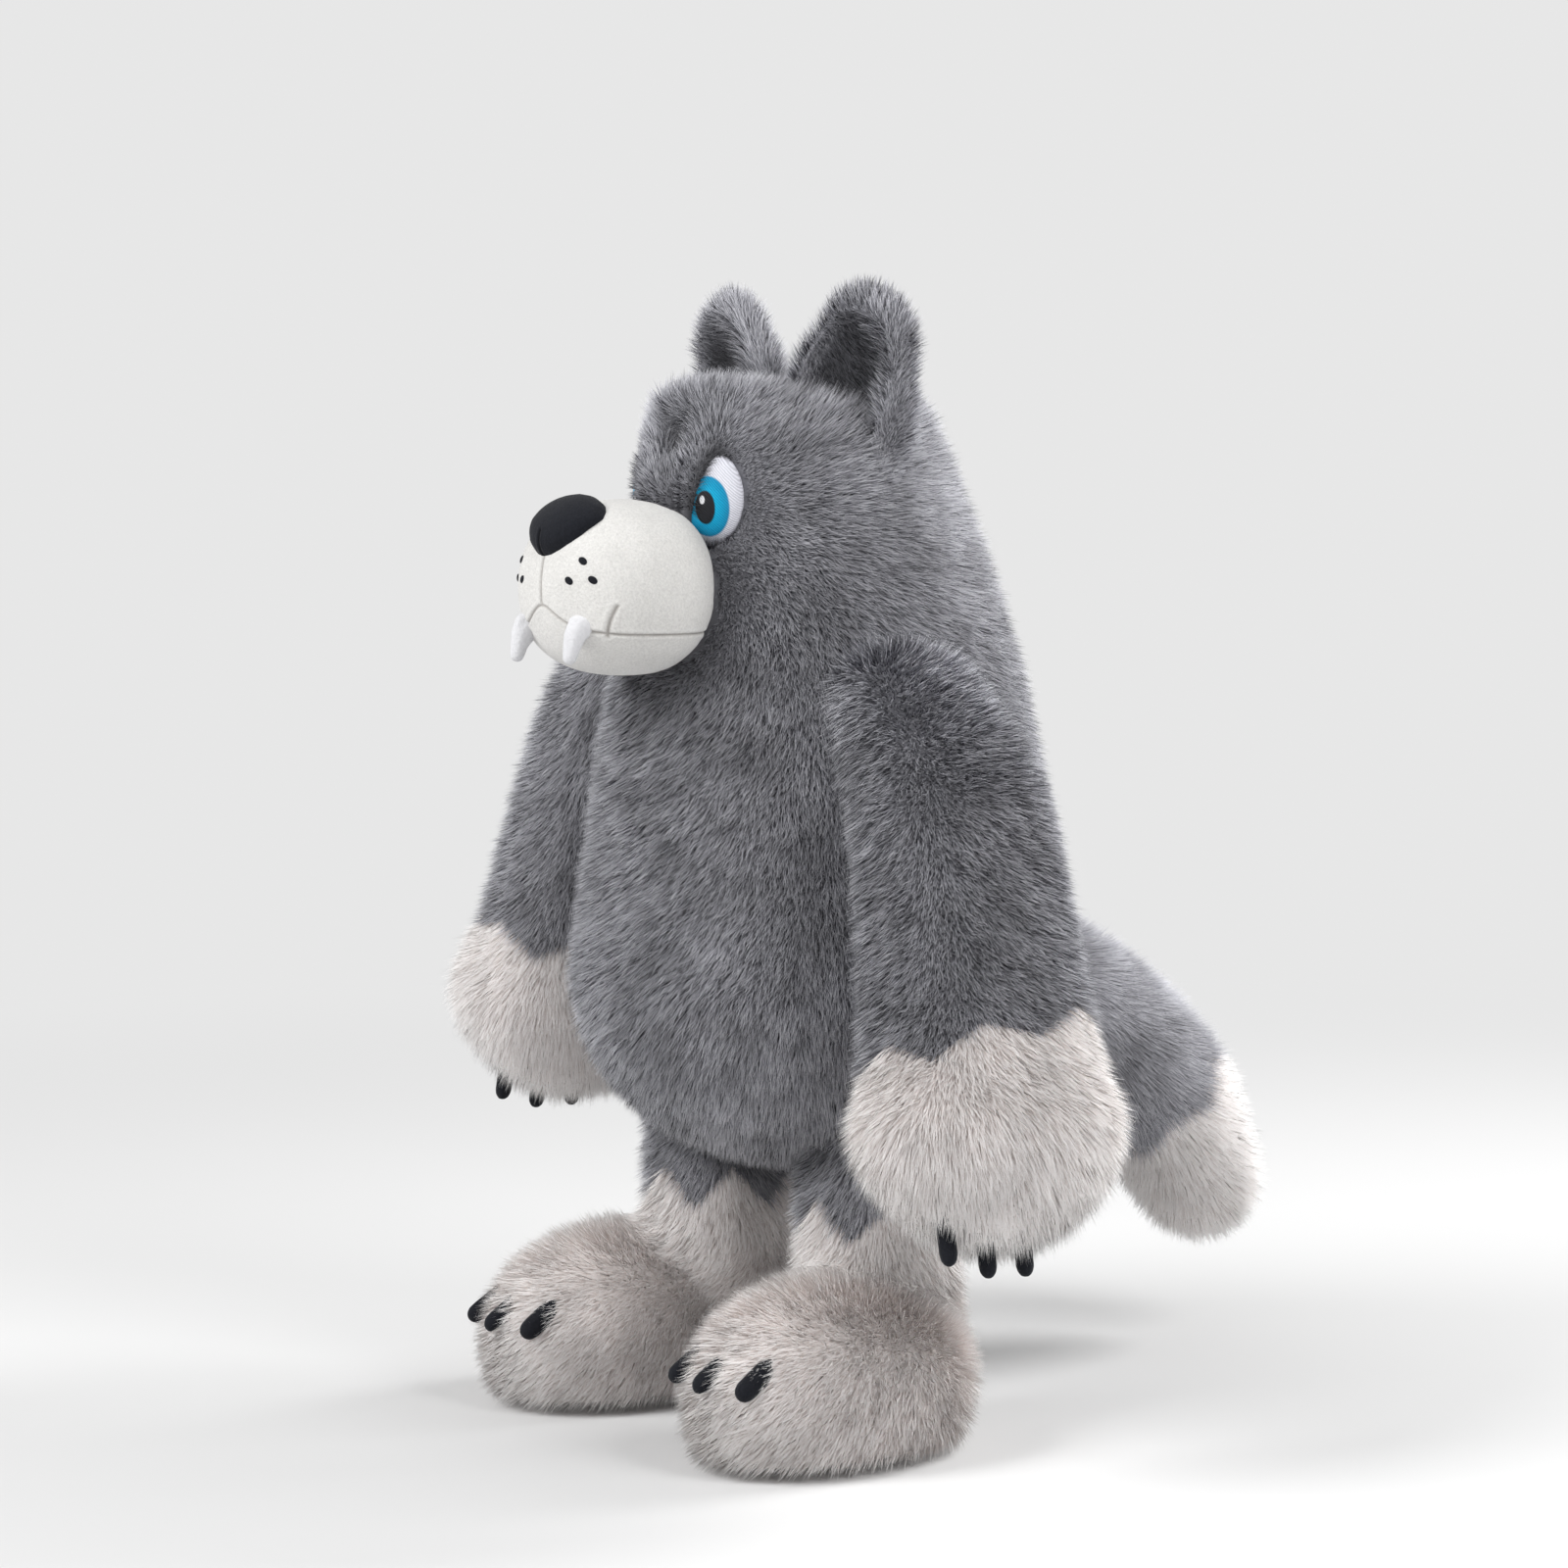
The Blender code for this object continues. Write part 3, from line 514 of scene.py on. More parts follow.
def make_pile_nodes():
    """Points all over the skin, and on each a blade that leans the way the pile is brushed."""
    group = bpy.data.node_groups.new("fur pile", "GeometryNodeTree")
    for name, kind, default in PILE_SETTINGS:
        made = group.interface.new_socket(name, in_out="INPUT", socket_type=f"NodeSocket{kind}")
        if default is not None:
            made.default_value = default
    group.interface.new_socket("Geometry", in_out="OUTPUT", socket_type="NodeSocketGeometry")
    given = group.nodes.new("NodeGroupInput").outputs

    def node(kind, inputs=None, **settings):
        return add_node(group, kind, inputs, **settings)

    def math(operation, first, second):
        return node("ShaderNodeMath", {0: first, 1: second}, operation=operation).outputs[0]

    def vector(operation, inputs):
        return node("ShaderNodeVectorMath", inputs, operation=operation).outputs[0]

    def named(name, kind="FLOAT"):
        made = node("GeometryNodeInputNamedAttribute", data_type=kind)
        made.inputs["Name"].default_value = name
        return made.outputs["Attribute"]

    def store(name, kind, geometry, value):
        made = node("GeometryNodeStoreNamedAttribute", data_type=kind, domain="POINT")
        set_inputs(group, made, {"Name": name, "Value": value, "Geometry": geometry})
        return made.outputs["Geometry"]

    def mesh_of(name):
        made = node("GeometryNodeObjectInfo", {"Object": given[name]}, transform_space="ORIGINAL")
        return made.outputs["Geometry"]

    def distance_to(name):
        near = node("GeometryNodeProximity", {"Geometry": mesh_of(name)}, target_element="FACES")
        missing = math("SUBTRACT", 1.0, near.outputs["Is Valid"])
        return math("ADD", near.outputs["Distance"], missing)

    def noise(scale, seed):
        place = node("GeometryNodeInputPosition").outputs[0]
        moved = vector("ADD", {0: place, 1: (seed * 3.1, seed * 1.7, seed * 2.3)})
        inputs = {"Vector": moved, "Scale": scale, "Detail": 1.0}
        return node("ShaderNodeTexNoise", inputs, noise_dimensions="3D").outputs

    def chance(seed, low, high):
        """A random number for each point, or a random vector where low and high are vectors."""
        if isinstance(low, tuple):
            inputs, kind = {"Min": low, "Max": high}, "FLOAT_VECTOR"
        else:
            inputs, kind = {2: low, 3: high}, "FLOAT"
        made = node("FunctionNodeRandomValue", data_type=kind)
        set_inputs(group, made, {**inputs, "Seed": seed})
        return made.outputs["Value"] if kind == "FLOAT_VECTOR" else made.outputs[1]

    points = node(
        "GeometryNodeDistributePointsOnFaces",
        {
            "Mesh": given["Geometry"], "Distance Min": given["Spacing"],
            "Density Max": given["Density"], "Seed": given["Seed"],
        },
        distribute_method="POISSON",
    ).outputs

    # Only the skin's own panel, nearer to its solid than to the other colour's, and not where the
    # skin is bare. Where two panels shade into each other, their strands mix.
    foreign = math("LESS_THAN", distance_to("Other"), distance_to("Own"))
    buried = math("GREATER_THAN", named("bare"), 0.5)
    panel = math("ADD", named("panel"), chance(5, -0.45, 0.45))
    elsewhere = math("ABSOLUTE", math("SUBTRACT", panel, given["Panel"]), 0.0)
    elsewhere = math("GREATER_THAN", elsewhere, 0.5)
    unwanted = math("MAXIMUM", math("MAXIMUM", foreign, buried), elsewhere)
    kept = store("stand", "FLOAT_VECTOR", points["Points"], points["Normal"])
    chosen = node("GeometryNodeDeleteGeometry", {"Geometry": kept, "Selection": unwanted})
    stand = named("stand", "FLOAT_VECTOR")

    # A blade's way: out, over to where the pile is brushed, with its clump, and a little its own.
    clump = vector("SUBTRACT", {0: noise(given["Clump Scale"], 1)["Color"], 1: (0.5, 0.5, 0.5)})
    clump = vector("SCALE", {0: clump, "Scale": math("MULTIPLY", given["Clump"], 4.0)})
    stray = chance(given["Seed"], (-1, -1, -1), (1, 1, 1))
    stray = vector("SCALE", {0: stray, "Scale": given["Stray"]})
    leaning = vector("SCALE", {0: named("comb", "FLOAT_VECTOR"), "Scale": given["Lean"]})
    way = stand
    for addition in (leaning, clump, stray):
        way = vector("ADD", {0: way, 1: addition})
    way = vector("NORMALIZE", {0: way})
    facing = vector("ADD", {0: stand, 1: chance(7, (-0.6, -0.6, -0.6), (0.6, 0.6, 0.6))})
    turn = node(
        "FunctionNodeAxesToRotation", {"Primary Axis": way, "Secondary Axis": facing},
        primary_axis="Z", secondary_axis="Y",
    )

    # Its length follows the pile's, uneven from strand to strand and from tuft to tuft.
    tuft = math("ADD", math("MULTIPLY", noise(140.0, 5)[0], 0.5), 0.75)
    length = math("MULTIPLY", math("MULTIPLY", named("pile"), chance(3, 0.62, 1.08)), tuft)
    size = node("ShaderNodeCombineXYZ", {0: given["Width"], 1: 1.0, 2: length})

    # Tone makes one strand or patch lighter or darker than the next at random;
    # # the hollow value takes it down with painted shade, or up with painted light below 0.
    patch = math("MULTIPLY", math("SUBTRACT", noise(38.0, 9)[0], 0.5), 1.5)
    tone = math("MULTIPLY", chance(11, 0.0, 1.0), 0.25)
    tone = math("ADD", tone, math("MULTIPLY", patch, 0.5))
    tone = math("SUBTRACT", math("ADD", tone, 0.48), math("MULTIPLY", named("hollow"), 0.5))
    toned = store("tone", "FLOAT", chosen.outputs["Geometry"], tone)

    blades = node(
        "GeometryNodeInstanceOnPoints",
        {
            "Points": toned, "Instance": mesh_of("Blade"), "Rotation": turn.outputs[0],
            "Scale": size.outputs[0],
        },
    )
    real = node("GeometryNodeRealizeInstances", {"Geometry": blades.outputs["Instances"]})
    node("NodeGroupOutput", {"Geometry": real.outputs["Geometry"]})
    return group


pile_nodes = make_pile_nodes()
print("nodes of the pile:", len(pile_nodes.nodes))

# %% [markdown]
# ## Fur colour
# A fibre is darker at its root, where little light comes, and pale at its tip. The ramp runs
# along the strand, and the tone of the strand scales it, so that tufts differ as they do in real
# fur. The tone also carries painted shade in folds and hollows, and painted light on a few rims
# and tops.

# %% The fur's colour


def fur_material(name, root, middle, tip, dark, light):
    """Dark at the root, pale at the tip; tone makes strands differ and carries painted shade and
    light.
    """
    look, tree, shader = new_look(name)
    along = add_node(tree, "ShaderNodeAttribute", attribute_name="along").outputs["Fac"]
    tone = add_node(tree, "ShaderNodeAttribute", attribute_name="tone").outputs["Fac"]
    colour = colour_ramp(tree, along, (0.10, root), (0.55, middle), (0.95, tip))
    span = add_node(
        tree, "ShaderNodeMapRange", {"Value": tone, "To Min": dark, "To Max": light}
    ).outputs[0]
    inputs = {"Roughness": 0.75, "Specular IOR Level": 0.25}
    set_inputs(tree, shader, {"Base Color": shaded(tree, colour, span), **inputs})
    return look


grey_fur = fur_material(
    "grey strands", (0.07, 0.07, 0.08), (0.31, 0.31, 0.34), (0.66, 0.66, 0.70), 0.15, 1.5
)
# A darker copy of the grey strands: painted shade, for the hollow of each ear.
shaded_fur = fur_material(
    "shaded strands", (0.02, 0.02, 0.024), (0.10, 0.10, 0.115), (0.30, 0.30, 0.33), 0.15, 1.5
)
pale_fur = fur_material(
    "pale strands", (0.74, 0.66, 0.63), (0.96, 0.92, 0.905), (1.0, 0.99, 0.985), 0.66, 1.18
)

print("furs:", grey_fur.name, shaded_fur.name, pale_fur.name)

# %% [markdown]
# ## Laying a pile
# Each pile is made on a copy of its skin and is then a plain mesh. Light enters real fur and
# leaves it again nearby, so single strands don't sparkle: their shading normals are turned
# towards the skin's. The backing under them has the colour of the strands a little above their
# roots.

# %% Laying a pile on a skin
STRAND_TO_SKIN = 0.86


def soften_shading(piece):
    """Turns each strand's shading normal towards the skin's, as light that spreads in fur does."""
    mesh = piece.data
    stand = np.empty(len(mesh.vertices) * 3, np.float32)
    mesh.attributes["stand"].data.foreach_get("vector", stand)
    stand = stand.reshape(-1, 3)
    flat = np.empty(len(mesh.polygons) * 3, np.float32)
    mesh.polygons.foreach_get("normal", flat)
    own = np.zeros_like(stand)
    own[corner_of_loops(mesh)] = np.repeat(flat.reshape(-1, 3), 3, axis=0)
    mixed = stand * STRAND_TO_SKIN + own * (1 - STRAND_TO_SKIN)
    mixed /= np.linalg.norm(mixed, axis=1, keepdims=True) + 1e-6
    mesh.shade_smooth()
    mesh.normals_split_custom_set_from_vertices(mixed)


def palette_map(piece):
    """The piece's own map: a strand's tone across, and the place along the strand up."""
    mesh = piece.data
    corner = corner_of_loops(mesh)
    spots = [np.clip(values_of(mesh, name)[corner], 0.01, 0.99) for name in ("tone", "along")]
    layer = mesh.uv_layers.get("OFBake") or mesh.uv_layers.new(name="OFBake")
    layer.uv.foreach_set("vector", np.stack(spots, 1).ravel())


def lay_pile(name, skin, node, look, other=None, **settings):
    """The strands of one panel of a skin, as a piece that stands for the panel's solid."""
    pile = twin_of(skin, name)
    step = pile.modifiers.new("pile", "NODES")
    step.node_group = pile_nodes
    inputs = {
        item.name: item.identifier
        for item in pile_nodes.interface.items_tree
        if item.in_out == "INPUT"
    }
    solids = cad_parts
    chosen = {"Blade": blade, "Own": solids[node], "Other": solids.get(other)}
    for key, value in {**chosen, **settings}.items():
        if value is not None:
            step[inputs[key]] = value
    select_only(pile)
    bpy.ops.object.modifier_apply(modifier=step.name)
    pile.data.materials.clear()
    pile.data.materials.append(look)
    soften_shading(pile)
    palette_map(pile)
    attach(pile, "root")
    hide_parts(node)
    print(name, len(pile.data.polygons), "strands")


def finish_piece(piece, nodes):
    """A stuffed piece of the wolf's one body, in place of these solids."""
    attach(piece, "root")
    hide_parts(*nodes)
    print(piece.name, len(piece.data.polygons), "faces for", *nodes)


def finish_skin(skin, nodes, look):
    """The backing: the colour that the strands have a little above their roots."""
    above_root = 0.6 if look is pale_fur else 0.44
    keep_values(skin, "along", np.full(len(skin.data.vertices), above_root))
    # The backing takes the same painted shade and painted light as its strands, from hollow.
    keep_values(skin, "tone", 0.6 - 0.5 * values_of(skin.data, "hollow"))
    skin.data.materials.append(look)
    palette_map(skin)
    finish_piece(skin, nodes)


# %% [markdown]
# ## Head and trunk
# The head and trunk are one stuffed form. On the real wolf the pile falls down the trunk and
# spreads from the muzzle over the head; a stitch pulls a dimple into the forehead, and a fold of
# fur hangs over the inner half of each eye. Folds like these could be sculpted. Moving the skin's
# corners by a formula keeps each of them a named size.

# %% The way of the pile on head and trunk
FACE_PIECES = ("muzzle", "chin", "left_eye", "right_eye")
MOUTH_PIECES = ("muzzle", "chin")
MUZZLE_MIDDLE = box_middle("muzzle")
BODY_MIDDLE = box_middle("torso")[0]
NECK_RISE = 0.38
BROW_RISE = 0.45


def body_way(places, normals):
    """Down on the trunk; on the head away from the muzzle."""
    down = np.tile((0, 0, -1.0), (len(places), 1))
    away = places - np.array(MUZZLE_MIDDLE)
    away /= np.linalg.norm(away, axis=1, keepdims=True)
    share = np.clip((places[:, 2:3] - NECK_RISE) / 0.06, 0, 1)
    fall = 0.95 - 0.75 * np.clip((places[:, 2:3] - BROW_RISE) / 0.05, 0, 1)
    return down * (1 - share) + (away + down * fall) * share


def split_panels(skin, panel_of):
    keep_values(skin, "panel", panel_of(corners_of(skin.data)[0]))


HEAD_SEAM = 0.395
TRUNK_SIDE_SEAM = -0.07


def body_panel(places):
    """Head, front and back panels."""
    front = np.where(places[:, 1] < TRUNK_SIDE_SEAM, 1.0, 2.0)
    return np.where(places[:, 2] > HEAD_SEAM, 0.0, front)


print("middle of the wolf:", round(float(BODY_MIDDLE), 4))

# %% The brow over the eyes
EYE_SEAT = (0.0256, -0.1649, 0.482)
EYE_TURN = radians(17)
EYE_SIZE = (0.0210, 0.0245, 0.009)
EYE_PROUD = 0.0004
BROW_EDGE = (0.0002, -0.0022)
BROW_SLOPE = (25 / 26.4, -8.4 / 26.4)
BROW_DRAWN_BACK = 0.003
BROW_OVER_EYE = 0.0026


def eye_axes(sign):
    """The eye's seat, and its ways towards the ear and out of the face."""
    turn = sign * EYE_TURN
    across = Vector((cos(turn), sin(turn), 0)) * sign
    out = Vector((sin(turn), -cos(turn), 0))
    return Vector((BODY_MIDDLE + sign * EYE_SEAT[0], EYE_SEAT[1], EYE_SEAT[2])), across, out


def eye_places(places, sign):
    """Places seen from an eye: across, up, out, in its oval below 1, and past the brow's edge."""
    seat, across, out = (np.array(found) for found in eye_axes(sign))
    moved = places - seat
    u, v, d = moved @ across, moved[:, 2], moved @ out
    oval = (u / EYE_SIZE[0]) ** 2 + (v / EYE_SIZE[1]) ** 2
    beyond = (u - BROW_EDGE[0]) * BROW_SLOPE[0] + (v - BROW_EDGE[1]) * BROW_SLOPE[1]
    return u, v, d, np.where(np.abs(d) < 0.05, oval, 99.0), beyond


def open_eyes(skin):
    """Draws the brow back from each eye outside a steep line, lays it over the eye inside the line
    and gives where it is drawn back."""
    places, _ = corners_of(skin.data)
    near = np.minimum(eye_places(places, 1)[3], eye_places(places, -1)[3]) < 3
    places, _ = cut_finer(skin, near, cuts=1)
    opened = np.zeros(len(places), bool)
    for sign in (1, -1):
        out = np.array(eye_axes(sign)[2])
        _, _, d, oval, beyond = eye_places(places, sign)
        cap = EYE_PROUD - EYE_SIZE[2] + EYE_SIZE[2] * np.sqrt(np.clip(1 - oval, 0, 1))
        share = np.clip(beyond / 0.004, 0, 1) * np.clip((1.15 - oval) / 0.25, 0, 1)
        places -= out * (np.clip(d - cap + BROW_DRAWN_BACK, 0, None) * share)[:, None]
        cover = np.clip(-beyond / 0.003, 0, 1) * np.clip((1.5 - oval) / 0.3, 0, 1)
        places += out * (np.clip(cap + BROW_OVER_EYE - d, 0, None) * cover)[:, None]
        opened |= share > 0.6
    move_corners(skin, places)
    return opened


# %% Dimple, cheeks and painted shade in folds
DIMPLE_RISE = 0.508
DIMPLE_HALF = (0.009, 0.012)
DIMPLE_DEPTH = 0.006
HEAD_FRONT = -0.13
CHEEK_RISE = 0.474
MORE_ON_CHEEK, LESS_IN_DIMPLE = 0.7, 0.45


def dimple_share(places):
    """1 in the middle of the dimple, fading to 0 around it; only on the front of the head."""
    x = (places[:, 0] - BODY_MIDDLE) / DIMPLE_HALF[0]
    z = (places[:, 2] - DIMPLE_RISE) / DIMPLE_HALF[1]
    return np.exp(-(x**2) - z**2) * (places[:, 1] < HEAD_FRONT)


def face_length(places, normals):
    """The pile is longer on the cheeks beside the muzzle, and short in the dimple."""
    cheek = np.clip((CHEEK_RISE - places[:, 2]) / 0.012, 0, 1)
    beside = np.clip(1 - distance_from(places, MOUTH_PIECES) / 0.016, 0, 1)
    more = 1 + MORE_ON_CHEEK * cheek * beside
    return more * (1 - LESS_IN_DIMPLE * dimple_share(places))


def press_dimple(skin):
    places, _ = corners_of(skin.data)
    places[:, 1] += DIMPLE_DEPTH * dimple_share(places)
    move_corners(skin, places)


def face_painted_shade(places):
    """Painted shade beside the eyes under the brow, in the dimple and around the muzzle."""
    painted_fold_shade = 0.6 * np.clip(1 - distance_from(places, MOUTH_PIECES) / 0.014, 0, 1)
    for sign in (1, -1):
        _, v, _, oval, beyond = eye_places(places, sign)
        # The fold under the brow beside each eye gets painted shade.
        fold = np.exp(-(((beyond + 0.002) / 0.005) ** 2)) * (oval < 9)
        painted_fold_shade = np.maximum(painted_fold_shade, fold * np.clip((0.030 - np.abs(v - 0.002)) / 0.010, 0, 1))
    return np.maximum(painted_fold_shade, dimple_share(places))


# %% Skin and pile of the trunk
SLEEVES = ("left_sleeve", "right_sleeve")

body_skin = make_skin("body_skin", ["torso"], 0.0070, smoothing=3, shallow=FACE_PIECES)
eyes_open = open_eyes(body_skin)
press_dimple(body_skin)
brush(
    body_skin, body_way, painted_shade_and_light_of=face_painted_shade, length_of=face_length,
    upright_near=MOUTH_PIECES, bare_near=MOUTH_PIECES, bare_in=SLEEVES, bare_too=eyes_open,
)
split_panels(body_skin, body_panel)
for number, word in enumerate(("head", "front", "back")):
    lay_pile(f"{word}_pile", body_skin, "torso", grey_fur, Seed=20 + number, Panel=float(number))
finish_skin(body_skin, ["torso"], grey_fur)

# %% [markdown]
# ## Ears
# Each ear has a grey back and a hollow front of the same grey fur. The hollow's pile is a darker
# copy of the grey strands, painted shade, and the rim and back get painted light. The front could
# be a panel with a seam of its own, but its edge is lost in the pile. So the two piles share one
# skin, and a soft share of 1 in the hollow decides which strands grow there.

# %% Ears
SIDES = (("left", 1), ("right", -1))
EAR_LEAN = radians(21)
EAR_TURN = radians(10)
EAR_FOOT = (0.037, -0.0844, 0.509)
EAR_HOLLOW = (0.023, 0.034)


def axis_way(start, end):
    way = np.array(end) - np.array(start)
    return lambda places, normals: np.tile(way, (len(places), 1))


def ear_axes(sign):
    """The ear's foot, and its ways across, up and to the front."""
    outward = Vector((sign * cos(EAR_TURN), sin(EAR_TURN), 0))
    up = Vector((0, 0, 1))
    rise = outward * sin(EAR_LEAN) + up * cos(EAR_LEAN)
    across = outward * cos(EAR_LEAN) - up * sin(EAR_LEAN)
    facing = Vector((sign * sin(EAR_TURN), -cos(EAR_TURN), 0))
    foot = Vector((BODY_MIDDLE + sign * EAR_FOOT[0], EAR_FOOT[1], EAR_FOOT[2]))
    return foot, across, rise, facing


def ear_panel(sign):
    """1 in the hollow at the front, fading to 0 on the rim and the back."""
    foot, across, rise, facing = ear_axes(sign)
    middle = foot + rise * EAR_HOLLOW[1]

    def panel_of(places):
        moved = places - np.array(middle)
        wide = moved @ np.array(across) / EAR_HOLLOW[0]
        high = moved @ np.array(rise) / EAR_HOLLOW[1]
        front = moved @ np.array(facing)
        return np.clip((1.25 - np.hypot(wide, high)) / 0.5, 0, 1) * (front > -0.007)

    return panel_of


def ear_painted_shade_and_light(sign):
    """Painted shade deep in the hollow of the ear, and painted light on its rim and back."""
    panel_of = ear_panel(sign)
    return lambda places: 0.7 * panel_of(places) ** 2 - 0.22 * (1 - panel_of(places))


for side, sign in SIDES:
    node = f"{side}_ear"
    ear = make_skin(
        f"{node}_skin", [node], 0.0050, voxel=0.003, smoothing=3, into=(-0.004 * sign, 0, -0.016)
    )
    brush(
        ear, axis_way((0, 0, 0), (0.3 * sign, 0, 1)), longer=2.1, bare_in=("torso",),
        painted_shade_and_light_of=ear_painted_shade_and_light(sign),
    )
    split_panels(ear, ear_panel(sign))
    lay_pile(f"{node}_pile", ear, node, grey_fur, Seed=2)
    # The hollow's pile uses the darker strands: painted shade.
    lay_pile(f"{node}_hollow_pile", ear, node, shaded_fur, Seed=9, Panel=1.0)
    finish_skin(ear, [node], grey_fur)

# %% [markdown]
# ## Arms
# An arm is a grey sleeve and a white paw that meet on a zigzag seam. One skin runs through both,
# so that no step shows, and is then cut at the seam. The pile lies along the arm and hangs
# longest under the paw.

# %% Arms


def paw_length(node):
    """The pile grows longer on the paw, and hangs longest under it."""
    low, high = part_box(node)
    upper_half = 0.5 * (high[2] - low[2])

    def length_of(places, normals):
        z = places[:, 2]
        share = np.clip((high[2] - z) / upper_half, 0, 1)
        under = np.clip((low[2] + 0.030 - z) / 0.030, 0, 1) * np.clip(-normals[:, 2], 0, 1)
        return 1 + 0.22 * share + 0.40 * under

    return length_of


def shoulder_painted_light(node):
    """Painted light: lighter fur where the sleeve rounds over into the trunk."""
    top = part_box(node)[1][2]
    return lambda places: -0.3 * np.clip((places[:, 2] - top + 0.060) / 0.040, 0, 1)


def cut_skin(skin, upper, lower):
    """Cuts a skin at the colour seam into the two cloths that it is sewn from."""
    places, _ = corners_of(skin.data)
    chosen = distance_from(places, lower) < distance_from(places, upper)
    edit_corners(skin, chosen)
    bpy.ops.mesh.separate(type="SELECTED")
    bpy.ops.object.mode_set(mode="OBJECT")
    made = [found for found in bpy.context.selected_objects if found is not skin][0]
    made.name = f"{skin.name}_end"
    finish_skin(skin, upper, grey_fur)
    finish_skin(made, lower, pale_fur)


for side, sign in SIDES:
    sleeve, paw = f"{side}_sleeve", f"{side}_paw"
    arm = make_skin(f"{side}_arm_skin", [sleeve, paw], 0.0066, into=(-0.018 * sign, 0, 0))
    brush(
        arm, axis_way(box_middle(sleeve), box_middle(paw)), length_of=paw_length(paw),
        painted_shade_and_light_of=shoulder_painted_light(sleeve), bare_in=("torso",),
    )
    lay_pile(f"{side}_sleeve_pile", arm, sleeve, grey_fur, other=paw, Seed=3)
    lay_pile(f"{side}_paw_pile", arm, paw, pale_fur, other=sleeve, Seed=4, Lean=1.1)
    cut_skin(arm, [sleeve], [paw])

# %% [markdown]
# ## Legs
# A grey thigh, a white shin and a white foot are made like the arm. The pile lies down the leg
# and turns forward over the foot, and it is kept short near the ground, so that the wolf stands
# on its soles and not on its fur.

# %% Legs


def crease_painted_shade(node):
    """Painted shade where a limb meets the named solid."""
    return lambda places: 0.4 * np.clip(1 - distance_from(places, (node,)) / 0.016, 0, 1)


def foot_way(places, normals):
    """Down the leg, and on the foot forward and down."""
    down = np.tile((0, 0, -1.0), (len(places), 1))
    forward = np.tile((0, -1.0, -0.5), (len(places), 1))
    share = np.clip((0.10 - places[:, 2:3]) / 0.03, 0, 1)
    return down * (1 - share) + forward * share


for side, sign in SIDES:
    thigh, shin, foot = f"{side}_thigh", f"{side}_shin", f"{side}_foot"
    leg = make_skin(f"{side}_leg_skin", [thigh, shin, foot], 0.0058, into=(0, 0.004, 0.016))
    brush(leg, foot_way, longer=2.3, painted_shade_and_light_of=crease_painted_shade("torso"), bare_in=("torso",))
    lay_pile(f"{side}_thigh_pile", leg, thigh, grey_fur, other=shin, Seed=5)
    lay_pile(f"{side}_shin_pile", leg, shin, pale_fur, other=thigh, Seed=6, Lean=1.0)
    cut_skin(leg, [thigh], [shin, foot])

# %% [markdown]
# ## Tail
# The tail is one stuffed form of two colours, sewn on low at the back, with its pile lying
# towards the white tip.

# %% Tail
tail = make_skin("tail_skin", ["tail_base", "tail_tip"], 0.0070, into=(0, -0.018, 0))
brush(
    tail, axis_way(box_middle("tail_base"), box_middle("tail_tip")), longer=2.1,
    painted_shade_and_light_of=crease_painted_shade("torso"), bare_in=("torso",),
)
lay_pile("tail_base_pile", tail, "tail_base", grey_fur, other="tail_tip", Seed=7)
lay_pile("tail_tip_pile", tail, "tail_tip", pale_fur, other="tail_base", Seed=8)
cut_skin(tail, ["tail_base"], ["tail_tip"])

# %% [markdown]
# ## Velour, thread and felt
# The smooth pieces are cut from short-nap velour, sewn inside out, turned and stuffed, so their
# edges are round and their seams lie in narrow grooves. Each starts as its solid, gets a longer
# root inside what carries it, and is softened. The muzzle and chin are one stuffed form, so they
# are fused, and the mouth, the middle seam and the darts are pressed into a finer net of faces.

# %% Nap and stitches


def nap_group():
    """The grain of short-nap cloth, a shade around 1 and a bump, from coarse and fine noise."""
    group = bpy.data.node_groups.new("velour nap", "ShaderNodeTree")
    for name in ("Scale", "Depth", "Contrast"):
        group.interface.new_socket(name, in_out="INPUT", socket_type="NodeSocketFloat")
    group.interface.new_socket("Shade", in_out="OUTPUT", socket_type="NodeSocketFloat")
    group.interface.new_socket("Normal", in_out="OUTPUT", socket_type="NodeSocketVector")
    given = group.nodes.new("NodeGroupInput").outputs
    place = add_node(group, "ShaderNodeTexCoord").outputs["Object"]

    def noise(scale, **inputs):
        inputs = {"Vector": place, "Scale": scale, **inputs}
        return add_node(group, "ShaderNodeTexNoise", inputs).outputs[0]

    def math(operation, *values):
        inputs = dict(enumerate(values))
        return add_node(group, "ShaderNodeMath", inputs, operation=operation).outputs[0]

    fine = noise(given["Scale"], Detail=3.0, Roughness=0.7)
    both = math("MULTIPLY_ADD", noise(45.0, Detail=2.0), 0.35, fine)
    shade = math("MULTIPLY_ADD", math("SUBTRACT", both, 0.675), given["Contrast"], 1.0)
    bump = add_node(
        group, "ShaderNodeBump", {"Strength": 0.8, "Distance": given["Depth"], "Height": fine}
    )
    add_node(group, "NodeGroupOutput", {"Shade": shade, "Normal": bump.outputs[0]})
    return group


nap = nap_group()
NAP_SHEEN = {"Roughness": 0.9, "Specular IOR Level": 0.15, "Sheen Roughness": 0.45}


